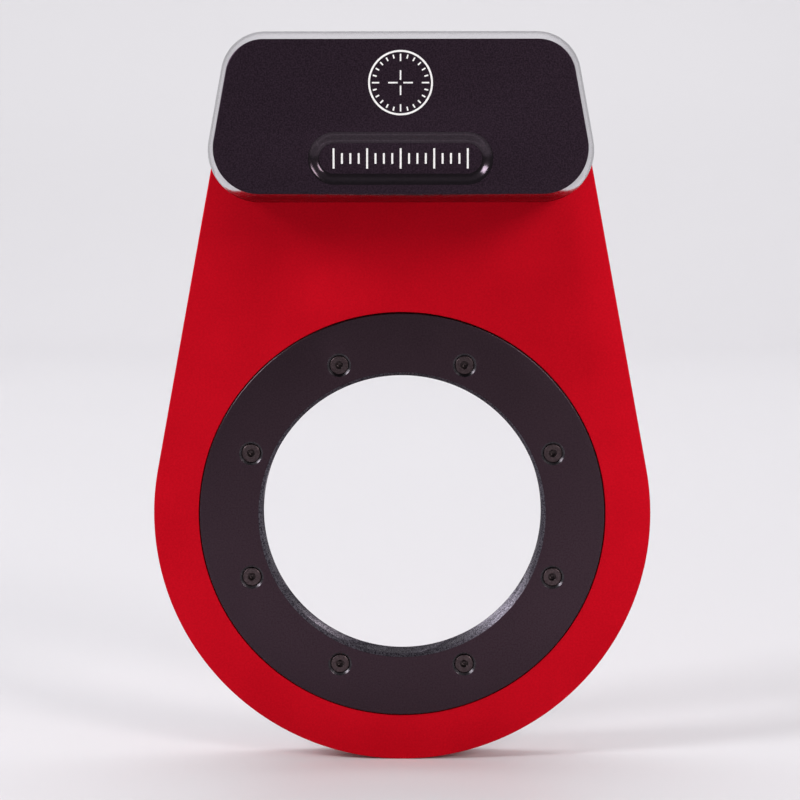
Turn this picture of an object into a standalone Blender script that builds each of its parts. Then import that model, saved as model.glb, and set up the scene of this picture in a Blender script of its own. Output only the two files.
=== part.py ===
"""Motorised camera rotator for a telescope.

A pear-shaped plate holds a thin ball bearing and a ring gear. The camera screws into the
threaded ring on the front, the telescope into the flange on the back. A geared stepper motor
under the cover at the top turns the ring through a pinion and an idler.

Frame: metres, X to the right, Z up, Y along the optical axis. The front faces -Y. The origin is on
the optical axis, in the plane of the telescope seat (the back of the rear flange).
Sizes below are in millimetres. A depth is measured backwards (+Y) from the plate's front face.
"""

import math

import bmesh
import bpy
from mathutils import Matrix, Vector

MM = 0.001
GAP = 0.3
SCREW_CLEARANCE = 0.3
OVERCUT = 1.0
JOIN_OVERLAP = 0.5

# Overall stack, as depths from the plate's front face.
RING_PROUD = 0.4
FRONT_WALL = 1.5
WALLS_END = 7.7
COVER_START = WALLS_END + GAP
PLATE_BACK = 9.2
SEAT_DEPTH = 9.6

# Plate outline: a round bottom with two tangent sides that lean in towards the flat top.
BODY_RADIUS = 47.25
LEAN = math.radians(10.54)
BODY_TOP = 90.05
BODY_TOP_CORNER = 8.0
BODY_EDGE_CHAMFER = 0.4

# Cover for the motor and the board, on the front of the plate.
SHELL_HEIGHT = 21.84
SHELL_BOTTOM = 59.45
SHELL_SIDE_INSET = 0.25
SHELL_BOTTOM_CORNER = 9.4
SHELL_CHAMFER = 1.5
SHELL_CHAMFER_DEPTH = 4.5
SHELL_WALL = 2.0
BADGE_HALF_LENGTH = 16.55
BADGE_HALF_HEIGHT = 4.7
BADGE_HEIGHT = 67.3
BADGE_DEPTH = 0.9

# Threaded bore (M54 x 0.75, female) and the camera ring around it.
THREAD_MINOR_RADIUS = 26.7
BORE_CHAMFER = 0.6
SPIGOT_RADIUS = 28.4
RING_RADIUS = 38.5
RING_BACK = 1.6
RING_SPIGOT_END = 6.6
RING_EDGE_CHAMFER = 0.3
SCREW_CIRCLE = 31.0
RING_SCREWS = 8
RING_SCREW_LENGTH = 4.6

# Rotor: ring gear with a sleeve for the bearing.
MODULE = 1.0
PRESSURE_ANGLE = math.radians(25)
TOOTH_THINNING = 0.15
ADDENDUM = 1.0
DEDENDUM = 1.25
RING_TEETH = 80
IDLER_TEETH = 24
PINION_TEETH = 12
GEAR_FRONT = 1.9
GEAR_BACK = 4.7
ROTOR_BORE = 28.7
SLEEVE_INNER = 29.4
SLEEVE_OUTER = 30.4
SLEEVE_END = 7.6
GEAR_POCKET = 41.7

# Thin-section ball bearing.
BEARING_FRONT = 5.1
BEARING_BACK = 7.7
INNER_RACE = (30.7, 32.1)
OUTER_RACE = (35.3, 36.7)
BALL_CIRCLE = 33.7
BALL_RADIUS = 1.25
BALL_COUNT = 20
CAGE_HALF_THICKNESS = 0.45
RACE_GROOVE = 0.25
BEARING_SEAT = 37.0
BEARING_SHOULDER = 35.6
SEAT_RING_FRONT = 5.3

# Telescope flange on the back of the rear cover.
FLANGE_RADIUS = 41.0
FLANGE_FRONT = 8.7
FLANGE_SPIGOT_START = 7.0
FLANGE_SPIGOT_RADIUS = 29.0
FLANGE_MINOR_RADIUS = 27.6
FLANGE_SCREW_CIRCLE = 38.9
FLANGE_SCREWS = 6
FLANGE_SCREW_LENGTH = 3.6
FLANGE_HOLE_FRONT = 5.6

# Drive: motor above the bore, its shaft offset towards the idler.
IDLER_CENTRE = (0.0, MODULE * (RING_TEETH + IDLER_TEETH) / 2)
DRIVE_ANGLE = math.radians(30)
PINION_DISTANCE = MODULE * (IDLER_TEETH + PINION_TEETH) / 2
PINION_CENTRE = (
    IDLER_CENTRE[0] - PINION_DISTANCE * math.sin(DRIVE_ANGLE),
    IDLER_CENTRE[1] + PINION_DISTANCE * math.cos(DRIVE_ANGLE),
)
SHAFT_OFFSET = 7.0
MOTOR_CENTRE = (
    PINION_CENTRE[0] - SHAFT_OFFSET * math.sin(DRIVE_ANGLE),
    PINION_CENTRE[1] + SHAFT_OFFSET * math.cos(DRIVE_ANGLE),
)
MOTOR_RADIUS = 12.0
MOTOR_LENGTH = 18.5
MOTOR_EDGE_CHAMFER = 1.0
MOTOR_BOSS_RADIUS = 4.5
MOTOR_BOSS_END = 1.3
MOTOR_SCREW_LENGTH = 2.4
EAR_SPACING = 14.8
EAR_RADIUS = 2.9
EAR_THICKNESS = 0.8
EAR_FACE_STEP = 0.02
SHAFT_RADIUS = 2.5
SHAFT_FLAT = 1.9
SHAFT_FRONT = -3.6
SHAFT_END = 5.4
IDLER_PIN_RADIUS = 1.5
IDLER_PIN_END = 7.6
IDLER_BOSS_RADIUS = 3.4
IDLER_SIDE_PLAY = 0.1

# Control board beside the motor.
BOARD_CENTRE = (13.6, 73.6)
BOARD_SIZE = (17.0, 21.6)
BOARD_FRONT = -5.4
BOARD_BACK = -3.8
BOARD_POSTS = ((7.6, 65.2), (19.6, 65.2))
BOARD_POST_RADIUS = 1.9
BOARD_POST_HOLE_END = -0.6
BOARD_SCREW_LENGTH = 4.2
CHIP_THICKNESS = 1.2
DRIVER_CHIP_CENTRE = (9.0, 70.0)
DRIVER_CHIP_SIZE = (4.8, 4.8)
CONTROLLER_CENTRE = (17.4, 73.1)
CONTROLLER_SIZE = (7.0, 7.0)
CONNECTOR_CENTRE = (7.6, 76.8)
CONNECTOR_SIZE = (4.6, 6.6)
CONNECTOR_HEIGHT = 5.2
CAPACITOR_CENTRE = (13.6, 66.0)
CAPACITOR_RADIUS = 2.5
CAPACITOR_HEIGHT = 5.8
USB_X = 13.6
USB_SIZE = (9.0, 3.3)
USB_BOTTOM = 81.6
USB_TOP = BODY_TOP - 0.3
USB_WALL = 0.6
USB_MOUTH_DEPTH = 3.0

# The motor's lead, held inside the cover.
CABLE_RADIUS = 0.9
CABLE_POINT_SPACING = 2.6

# Where the shell and the rear cover are fastened.
SHELL_BOSSES = ((-28.6, 65.6), (28.6, 65.6), (-25.4, 83.2), (25.4, 83.2))
SHELL_BOSS_RADIUS = 3.0
SHELL_HOLE_END = -8.0
COVER_SCREW_LENGTH = 8.0
TOP_BOSSES = ((-12.0, 85.0), (12.0, 85.0))
TOP_BOSS_RADIUS = 2.9
UPPER_POCKET = (40.0, 86.2)
UPPER_POCKET_INSET = 3.6
UPPER_POCKET_CORNER = 3.0
BOSS_ROOT = 1.0
REAR_SCREW_CIRCLE = 44.2
REAR_SCREW_ANGLES = (-155, -110, -70, -25)
REAR_SCREW_LENGTH = 5.2
REAR_HOLE_DEPTH = 5.0
REAR_TAPPED_HOLE_START = 3.5

# Screws.
THREAD_RADIUS = 1.0
FLAT_HEAD_RADIUS = 1.7
FLAT_HEAD_SUNK = 0.2
PAN_HEAD_RADIUS = 1.9
PAN_HEAD_HEIGHT = 1.3
HEX_RADIUS = 0.75
HEX_DEPTH = 0.8

# Sides of round shapes, by size.
ROUND_STEPS = 60
MOTOR_STEPS = 36
MEDIUM_STEPS = 20
SMALL_STEPS = 12
SMALL_RADIUS = 2.4

BLACK_ANODISED = ((0.022, 0.019, 0.021), 0.42, 0.6)
SHELL_BLACK = ((0.020, 0.017, 0.020), 0.50, 0.5)
RED_ANODISED = ((0.55, 0.006, 0.012), 0.45, 0.5)
BEARING_STEEL = ((0.55, 0.56, 0.58), 0.25, 1.0)
SCREW_BLACK = ((0.060, 0.048, 0.048), 0.45, 0.8)
ZINC = ((0.62, 0.63, 0.65), 0.35, 1.0)
GEAR_ALUMINIUM = ((0.06, 0.055, 0.06), 0.45, 1.0)
BRASS = ((0.75, 0.55, 0.25), 0.35, 1.0)
ACETAL = ((0.80, 0.79, 0.75), 0.50, 0.0)
CAGE_POLYMER = ((0.45, 0.30, 0.16), 0.55, 0.0)
BOARD_GREEN = ((0.02, 0.16, 0.07), 0.45, 0.0)
CHIP_BLACK = ((0.02, 0.02, 0.02), 0.50, 0.0)
CAPACITOR_SILVER = ((0.70, 0.70, 0.70), 0.30, 0.9)
CONNECTOR_WHITE = ((0.85, 0.84, 0.80), 0.50, 0.0)
CABLE_GREY = ((0.30, 0.30, 0.32), 0.60, 0.0)


def clear_scene():
    for item in list(bpy.data.objects):
        bpy.data.objects.remove(item, do_unlink=True)


def collection(name, hidden):
    made = bpy.data.collections.new(name)
    made.hide_render = hidden
    bpy.context.scene.collection.children.link(made)
    return made


clear_scene()
PARTS = collection("camera_rotator", False)
CUTTERS = collection("cutters", True)


def material(name, look):
    colour, roughness, metallic = look
    made = bpy.data.materials.new(name)
    made.use_nodes = True
    shader = made.node_tree.nodes["Principled BSDF"]
    shader.inputs["Base Color"].default_value = (*colour, 1.0)
    shader.inputs["Roughness"].default_value = roughness
    shader.inputs["Metallic"].default_value = metallic
    return made


def finish(part, look):
    """Gives a finished part its material and smooth shading, and files it with the parts."""
    part.data.materials.clear()
    part.data.materials.append(material(part.name, look))
    part.data.shade_smooth()
    part.data.set_sharp_from_angle(angle=math.radians(35))
    return part


def as_cutter(part):
    part.hide_render = True
    part.display_type = "WIRE"
    PARTS.objects.unlink(part)
    CUTTERS.objects.link(part)
    return part


def y_of(depth):
    return (depth - SEAT_DEPTH) * MM


def circle(radius, steps=ROUND_STEPS, centre=(0.0, 0.0)):
    turns = [2 * math.pi * (i + 0.5) / steps for i in range(steps)]
    return [(centre[0] + radius * math.cos(a), centre[1] + radius * math.sin(a)) for a in turns]


def arc(radius, start, end, steps, centre=(0.0, 0.0)):
    turns = [start + (end - start) * i / steps for i in range(steps + 1)]
    return [(centre[0] + radius * math.cos(a), centre[1] + radius * math.sin(a)) for a in turns]


def rectangle(centre, size):
    x, z = centre
    w, h = size[0] / 2, size[1] / 2
    return [(x - w, z - h), (x + w, z - h), (x + w, z + h), (x - w, z + h)]


def stadium(half_length, half_width, steps=10):
    """A slot shape: a rectangle with a half circle on each end."""
    straight = half_length - half_width
    quarter = math.pi / 2
    right = arc(half_width, -quarter, quarter, steps, (straight, 0.0))
    return right + arc(half_width, quarter, 3 * quarter, steps, (-straight, 0.0))


def fillet(before, corner, after, radius, steps=6):
    """The arc that rounds one corner of an outline."""
    corner = Vector(corner)
    to_before = (Vector(before) - corner).normalized()
    to_after = (Vector(after) - corner).normalized()
    half = to_before.angle(to_after) / 2
    centre = corner + (to_before + to_after).normalized() * radius / math.sin(half)
    start = corner + to_before * radius / math.tan(half) - centre
    end = corner + to_after * radius / math.tan(half) - centre
    swing = start.angle_signed(end)
    first = math.atan2(start.y, start.x)
    return arc(radius, first, first - swing, steps, centre)


def side_x(z, inset):
    """Half the plate's width at height z, on a side moved inwards by inset."""
    return (BODY_RADIUS - inset - z * math.sin(LEAN)) / math.cos(LEAN)


def tapered_outline(bottom, top, inset, bottom_corner, top_corner):
    """A rounded outline between two heights whose sides follow the plate's leaning sides."""
    corners = [
        (side_x(bottom, inset), bottom),
        (side_x(top, inset), top),
        (-side_x(top, inset), top),
        (-side_x(bottom, inset), bottom),
    ]
    radii = (bottom_corner, top_corner, top_corner, bottom_corner)
    outline = []
    for i, radius in enumerate(radii):
        outline += fillet(corners[i - 1], corners[i], corners[(i + 1) % 4], radius)
    return outline


def body_outline():
    """The whole plate: the round bottom from one tangent point to the other, then the top corners."""
    bottom = arc(BODY_RADIUS, math.pi - LEAN, 2 * math.pi + LEAN, 48)
    right = (side_x(BODY_TOP, 0), BODY_TOP)
    left = (-right[0], BODY_TOP)
    top = fillet(bottom[-1], right, left, BODY_TOP_CORNER)
    return bottom + top + fillet(right, left, bottom[0], BODY_TOP_CORNER)


def plate(name, loops, front, back, centre=(0.0, 0.0)):
    """A flat piece: an outline and its holes, given around centre, between two depths."""
    curve = bpy.data.curves.new(name, "CURVE")
    curve.dimensions = "2D"
    curve.fill_mode = "BOTH"
    curve.extrude = (back - front) / 2 * MM
    for loop in loops:
        spline = curve.splines.new("POLY")
        spline.points.add(len(loop) - 1)
        for point, (x, z) in zip(spline.points, loop):
            point.co = (x * MM, z * MM, 0.0, 1.0)
        spline.use_cyclic_u = True
    flat = bpy.data.objects.new(name + "_outline", curve)
    PARTS.objects.link(flat)
    flat.location = (centre[0] * MM, y_of((front + back) / 2), centre[1] * MM)
    flat.rotation_euler = (math.pi / 2, 0.0, 0.0)
    return as_mesh(flat, name)


def as_mesh(source, name):
    """Replaces a curve object by a mesh object of the same shape, its caps welded on."""
    bpy.context.view_layer.update()
    graph = bpy.context.evaluated_depsgraph_get()
    mesh = bpy.data.meshes.new_from_object(source.evaluated_get(graph))
    shape = bmesh.new()
    shape.from_mesh(mesh)
    bmesh.ops.remove_doubles(shape, verts=shape.verts, dist=1e-6)
    bmesh.ops.recalc_face_normals(shape, faces=shape.faces)
    shape.to_mesh(mesh)
    shape.free()
    part = bpy.data.objects.new(name, mesh)
    part.matrix_world = source.matrix_world.copy()
    bpy.data.objects.remove(source, do_unlink=True)
    PARTS.objects.link(part)
    return part


def turned(name, profile, steps=ROUND_STEPS, centre=(0.0, 0.0), closed=True):
    """A turned piece about an axis along Y. The profile holds (radius, depth) points: a closed
    section, or an open one from the axis at the front to the axis at the back."""
    local = [(radius * MM, -y_of(depth)) for radius, depth in profile]
    if closed:
        ahead = local[1:] + local[:1]
        turn = sum(a[0] * b[1] - b[0] * a[1] for a, b in zip(local, ahead))
        if turn > 0:
            local.reverse()
    mesh = bpy.data.meshes.new(name)
    edges = [(i, i + 1) for i in range(len(local) - 1)]
    if closed:
        edges.append((len(local) - 1, 0))
    mesh.from_pydata([(radius, 0.0, height) for radius, height in local], edges, [])
    part = bpy.data.objects.new(name, mesh)
    PARTS.objects.link(part)
    part.location = (centre[0] * MM, 0.0, centre[1] * MM)
    part.rotation_euler = (math.pi / 2, 0.0, 0.0)
    screw = part.modifiers.new("Turn", "SCREW")
    screw.steps = steps
    screw.render_steps = steps
    screw.use_merge_vertices = True
    screw.merge_threshold = 1e-6
    return part


def lofted(name, levels):
    """A solid through outlines of equally many points, each at its own depth."""
    shape = bmesh.new()
    rims = []
    for outline, depth in levels:
        corners = [shape.verts.new((x * MM, y_of(depth), z * MM)) for x, z in outline]
        pairs = zip(corners, corners[1:] + corners[:1])
        rims.append([shape.edges.new(pair) for pair in pairs])
    for one, other in zip(rims, rims[1:]):
        bmesh.ops.bridge_loops(shape, edges=one + other)
    for rim in (rims[0], rims[-1]):
        bmesh.ops.contextual_create(shape, geom=rim)
    bmesh.ops.recalc_face_normals(shape, faces=shape.faces)
    mesh = bpy.data.meshes.new(name)
    shape.to_mesh(mesh)
    shape.free()
    part = bpy.data.objects.new(name, mesh)
    PARTS.objects.link(part)
    return part


def tube(name, inner, outer, front, back, steps=ROUND_STEPS, centre=(0.0, 0.0)):
    section = [(outer, front), (outer, back), (inner, back), (inner, front)]
    return turned(name, section, steps, centre)


def rod(name, radius, front, back, steps=SMALL_STEPS, centre=(0.0, 0.0)):
    section = [(0.0, front), (radius, front), (radius, back), (0.0, back)]
    return turned(name, section, steps, centre, closed=False)


def joined_mesh(name, pieces):
    """One object that holds several separate closed shapes, for use in a Boolean."""
    graph = bpy.context.evaluated_depsgraph_get()
    shape = bmesh.new()
    for piece in pieces:
        mesh = bpy.data.meshes.new_from_object(piece.evaluated_get(graph))
        mesh.transform(piece.matrix_world)
        shape.from_mesh(mesh)
        bpy.data.objects.remove(piece, do_unlink=True)
    mesh = bpy.data.meshes.new(name)
    shape.to_mesh(mesh)
    shape.free()
    whole = bpy.data.objects.new(name, mesh)
    PARTS.objects.link(whole)
    return whole


def boolean(part, operation, pieces):
    """Cuts pieces from a part, or joins them to it."""
    bpy.context.view_layer.update()
    tool = as_cutter(joined_mesh(f"{part.name}_{operation.lower()}", pieces))
    modifier = part.modifiers.new(operation.title(), "BOOLEAN")
    modifier.operation = operation
    modifier.object = tool
    return part


def cut(part, pieces):
    return boolean(part, "DIFFERENCE", pieces)


def join(part, pieces):
    return boolean(part, "UNION", pieces)


def chamfer_rim(part, depth, width):
    """Chamfers the outer rim of a plate at one depth."""
    shape = bmesh.new()
    shape.from_mesh(part.data)
    level = (part.matrix_world.inverted() @ Vector((0.0, y_of(depth), 0.0))).z
    rim = [
        edge
        for edge in shape.edges
        if all(abs(v.co.z - level) < 1e-6 for v in edge.verts)
        and edge.calc_face_angle(0.0) > math.radians(60)
    ]
    bmesh.ops.bevel(shape, geom=rim, offset=width * MM, segments=1, affect="EDGES")
    shape.to_mesh(part.data)
    shape.free()


def on_circle(radius, count, first=0.5):
    turns = [2 * math.pi * (i + first) / count for i in range(count)]
    return [(radius * math.cos(a), radius * math.sin(a)) for a in turns]


def involute(angle):
    return math.tan(angle) - angle


def gear_loop(teeth, phase, flank_steps):
    """Outline of an involute spur gear. Phase is the direction of the middle of one tooth."""
    pitch = MODULE * teeth / 2
    base = pitch * math.cos(PRESSURE_ANGLE)
    root = pitch - DEDENDUM * MODULE
    tip = pitch + ADDENDUM * MODULE
    start = max(root, base)
    half_tooth = math.pi / (2 * teeth) - TOOTH_THINNING / (2 * pitch)

    def half_angle(radius):
        pressure = math.acos(min(1.0, base / radius))
        return half_tooth + involute(PRESSURE_ANGLE) - involute(pressure)

    radii = [start + (tip - start) * i / flank_steps for i in range(flank_steps + 1)]
    if root < base:
        radii.insert(0, root)
    outline = []
    for i in range(teeth):
        middle = phase + 2 * math.pi * i / teeth
        for radius in radii:
            angle = middle - half_angle(radius)
            outline.append((radius * math.cos(angle), radius * math.sin(angle)))
        for radius in reversed(radii):
            angle = middle + half_angle(radius)
            outline.append((radius * math.cos(angle), radius * math.sin(angle)))
    return outline


def flat_head_screw(name, centre, face, length, into=1.0):
    """A countersunk hex screw. Into is +1 when it points backwards from its face, and -1 forwards."""
    head = face + into * FLAT_HEAD_SUNK
    neck = head + into * (FLAT_HEAD_RADIUS - THREAD_RADIUS)
    section = [
        (0.0, head + into * HEX_DEPTH),
        (HEX_RADIUS, head + into * HEX_DEPTH),
        (HEX_RADIUS, head),
        (FLAT_HEAD_RADIUS, head),
        (THREAD_RADIUS, neck),
        (THREAD_RADIUS, face + into * length),
        (0.0, face + into * length),
    ]
    if into < 0:
        section.reverse()
    screw = turned(name, section, SMALL_STEPS, centre, closed=False)
    return finish(screw, SCREW_BLACK)


def pan_head_screw(name, centre, face, length, into=1.0, look=SCREW_BLACK):
    """A cap screw whose head stands on its face."""
    top = face - into * (PAN_HEAD_HEIGHT + GAP)
    section = [
        (0.0, top + into * HEX_DEPTH),
        (HEX_RADIUS, top + into * HEX_DEPTH),
        (HEX_RADIUS, top),
        (PAN_HEAD_RADIUS, top),
        (PAN_HEAD_RADIUS, face - into * GAP),
        (THREAD_RADIUS, face - into * GAP),
        (THREAD_RADIUS, face + into * length),
        (0.0, face + into * length),
    ]
    if into < 0:
        section.reverse()
    screw = turned(name, section, SMALL_STEPS, centre, closed=False)
    return finish(screw, look)


def countersink(centre, face, depth, into=1.0):
    """The hole for a countersunk screw, with its clearance, as a cutting shape."""
    wide = FLAT_HEAD_RADIUS + SCREW_CLEARANCE + FLAT_HEAD_SUNK
    narrow = THREAD_RADIUS + SCREW_CLEARANCE
    section = [
        (0.0, face - into * OVERCUT),
        (wide, face - into * OVERCUT),
        (wide, face),
        (narrow, face + into * (wide - narrow)),
        (narrow, face + into * depth),
        (0.0, face + into * depth),
    ]
    if into < 0:
        section.reverse()
    return turned("countersink", section, SMALL_STEPS, centre, closed=False)


def hole(centre, front, back, radius=THREAD_RADIUS + SCREW_CLEARANCE):
    """A small round boss or hole, a screw's clearance hole unless told otherwise."""
    steps = SMALL_STEPS if radius < SMALL_RADIUS else MEDIUM_STEPS
    return rod("hole", radius, front, back, steps, centre)


def rear_screw_centres():
    """The screws of the rear cover: four round the bore and two in the bosses at the top."""
    angles = [math.radians(a) for a in REAR_SCREW_ANGLES]
    low = [(REAR_SCREW_CIRCLE * math.cos(a), REAR_SCREW_CIRCLE * math.sin(a)) for a in angles]
    return low + list(TOP_BOSSES)


def make_main_body():
    body = plate("main_body", [body_outline()], 0.0, WALLS_END)
    chamfer_rim(body, 0.0, BODY_EDGE_CHAMFER)
    past = WALLS_END + OVERCUT
    corners = (UPPER_POCKET_CORNER, UPPER_POCKET_CORNER)
    upper = tapered_outline(*UPPER_POCKET, UPPER_POCKET_INSET, *corners)
    cut(body, [rod("gear_pocket", GEAR_POCKET, FRONT_WALL, past, ROUND_STEPS)])
    cut(body, [plate("drive_pocket", [upper], FRONT_WALL, past)])
    bosses = [hole(centre, BOSS_ROOT, WALLS_END, TOP_BOSS_RADIUS) for centre in TOP_BOSSES]
    top = BOARD_BACK + GAP
    posts = [hole(centre, top, BOSS_ROOT, BOARD_POST_RADIUS) for centre in BOARD_POSTS]
    join(body, bosses + posts)
    before, behind = -OVERCUT, FRONT_WALL + OVERCUT
    holes = [rod("ring_opening", RING_RADIUS + GAP, before, behind, ROUND_STEPS)]
    boss_hole = MOTOR_BOSS_RADIUS + GAP
    holes.append(rod("motor_boss_hole", boss_hole, before, behind, MEDIUM_STEPS, PINION_CENTRE))
    holes += [hole(centre, before, behind) for centre in SHELL_BOSSES + motor_ear_centres()]
    holes += [hole(centre, REAR_TAPPED_HOLE_START, past) for centre in rear_screw_centres()]
    holes += [hole(centre, top - OVERCUT, BOARD_POST_HOLE_END) for centre in BOARD_POSTS]
    cut(body, holes)
    return finish(body, RED_ANODISED)


def make_rear_cover():
    cover = plate("rear_cover", [body_outline()], COVER_START, PLATE_BACK)
    chamfer_rim(cover, PLATE_BACK, BODY_EDGE_CHAMFER)
    front, root = SEAT_RING_FRONT, COVER_START + JOIN_OVERLAP
    idler_boss = rod("idler_boss", IDLER_BOSS_RADIUS, front, root, MEDIUM_STEPS, IDLER_CENTRE)
    seat_ring = rod("seat_ring", GEAR_POCKET - GAP, front, root, ROUND_STEPS)
    join(cover, [idler_boss, seat_ring])
    recess = FLANGE_FRONT - GAP
    past = PLATE_BACK + OVERCUT
    before = front - OVERCUT
    cut(cover, [rod("bearing_seat", BEARING_SEAT, before, COVER_START, ROUND_STEPS)])
    cut(cover, [rod("cover_opening", BEARING_SHOULDER, COVER_START - OVERCUT, past, ROUND_STEPS)])
    cut(cover, [rod("flange_recess", FLANGE_RADIUS + GAP, recess, past, ROUND_STEPS)])
    holes = [hole(IDLER_CENTRE, before, IDLER_PIN_END + GAP, IDLER_PIN_RADIUS + GAP)]
    flange_screws = on_circle(FLANGE_SCREW_CIRCLE, FLANGE_SCREWS)
    holes += [hole(centre, FLANGE_HOLE_FRONT, recess + OVERCUT) for centre in flange_screws]
    depth = REAR_HOLE_DEPTH
    holes += [countersink(centre, PLATE_BACK, depth, -1.0) for centre in rear_screw_centres()]
    cut(cover, holes)
    return finish(cover, RED_ANODISED)


def make_front_ring():
    face = -RING_PROUD
    section = [
        (RING_RADIUS - RING_EDGE_CHAMFER, face),
        (RING_RADIUS, face + RING_EDGE_CHAMFER),
        (RING_RADIUS, RING_BACK),
        (SPIGOT_RADIUS, RING_BACK),
        (SPIGOT_RADIUS, RING_SPIGOT_END),
        (THREAD_MINOR_RADIUS, RING_SPIGOT_END),
        (THREAD_MINOR_RADIUS, face + BORE_CHAMFER),
        (THREAD_MINOR_RADIUS + BORE_CHAMFER, face),
    ]
    ring = turned("front_ring", section)
    centres = on_circle(SCREW_CIRCLE, RING_SCREWS)
    depth = RING_BACK - face + OVERCUT
    cut(ring, [countersink(centre, face, depth) for centre in centres])
    for number, centre in enumerate(centres, 1):
        flat_head_screw(f"ring_screw_{number}", centre, face, RING_SCREW_LENGTH)
    return finish(ring, BLACK_ANODISED)


def make_rotor_gear():
    centres = on_circle(SCREW_CIRCLE, RING_SCREWS)
    holes = [circle(THREAD_RADIUS + SCREW_CLEARANCE, SMALL_STEPS, centre) for centre in centres]
    toward_idler = math.pi / 2
    loops = [gear_loop(RING_TEETH, toward_idler, 1), circle(ROTOR_BORE)] + holes
    gear = plate("rotor_gear", loops, GEAR_FRONT, GEAR_BACK)
    root = GEAR_BACK - JOIN_OVERLAP
    join(gear, [tube("sleeve", SLEEVE_INNER, SLEEVE_OUTER, root, SLEEVE_END)])
    return finish(gear, GEAR_ALUMINIUM)


def make_bearing():
    groove = RACE_GROOVE
    middle = (BEARING_FRONT + BEARING_BACK) / 2
    inner, outer = INNER_RACE
    front, back = BEARING_FRONT, BEARING_BACK
    race = [(outer, front), (outer - groove, middle), (outer, back), (inner, back), (inner, front)]
    finish(turned("bearing_inner_race", race), BEARING_STEEL)
    inner, outer = OUTER_RACE
    race = [(outer, front), (outer, back), (inner, back), (inner + groove, middle), (inner, front)]
    finish(turned("bearing_outer_race", race), BEARING_STEEL)
    inner, outer = BALL_CIRCLE - CAGE_HALF_THICKNESS, BALL_CIRCLE + CAGE_HALF_THICKNESS
    cage = tube("bearing_ball_cage", inner, outer, front + GAP, back - GAP)
    shape = bmesh.new()
    for x, z in on_circle(BALL_CIRCLE, BALL_COUNT):
        place = Matrix.Translation((x * MM, y_of(middle), z * MM))
        bmesh.ops.create_uvsphere(
            shape, u_segments=6, v_segments=4, radius=BALL_RADIUS * MM, matrix=place
        )
    mesh = bpy.data.meshes.new("balls")
    shape.to_mesh(mesh)
    shape.free()
    balls = bpy.data.objects.new("balls", mesh)
    PARTS.objects.link(balls)
    join(cage, [balls])
    return finish(cage, CAGE_POLYMER)


def make_rear_flange():
    section = [
        (FLANGE_SPIGOT_RADIUS, FLANGE_SPIGOT_START),
        (FLANGE_SPIGOT_RADIUS, FLANGE_FRONT),
        (FLANGE_RADIUS, FLANGE_FRONT),
        (FLANGE_RADIUS, SEAT_DEPTH - RING_EDGE_CHAMFER),
        (FLANGE_RADIUS - RING_EDGE_CHAMFER, SEAT_DEPTH),
        (FLANGE_MINOR_RADIUS + BORE_CHAMFER, SEAT_DEPTH),
        (FLANGE_MINOR_RADIUS, SEAT_DEPTH - BORE_CHAMFER),
        (FLANGE_MINOR_RADIUS, FLANGE_SPIGOT_START),
    ]
    flange = turned("rear_flange", section)
    centres = on_circle(FLANGE_SCREW_CIRCLE, FLANGE_SCREWS)
    depth = SEAT_DEPTH - FLANGE_FRONT + OVERCUT
    cut(flange, [countersink(centre, SEAT_DEPTH, depth, -1.0) for centre in centres])
    length = FLANGE_SCREW_LENGTH
    for number, centre in enumerate(centres, 1):
        flat_head_screw(f"flange_screw_{number}", centre, SEAT_DEPTH, length, -1.0)
    return finish(flange, BLACK_ANODISED)


def make_idler():
    phase = -math.pi / 2 + math.pi / IDLER_TEETH
    bore = circle(IDLER_PIN_RADIUS + GAP, MEDIUM_STEPS)
    loops = [gear_loop(IDLER_TEETH, phase, 2), bore]
    front, back = GEAR_FRONT + IDLER_SIDE_PLAY, GEAR_BACK - IDLER_SIDE_PLAY
    finish(plate("idler_gear", loops, front, back, IDLER_CENTRE), ACETAL)
    pin = rod(
        "idler_shaft", IDLER_PIN_RADIUS, GEAR_FRONT, IDLER_PIN_END, MEDIUM_STEPS, IDLER_CENTRE
    )
    return finish(pin, BEARING_STEEL)


def motor_ear_centres():
    x, z = MOTOR_CENTRE
    return (x - EAR_SPACING, z), (x + EAR_SPACING, z)


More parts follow.
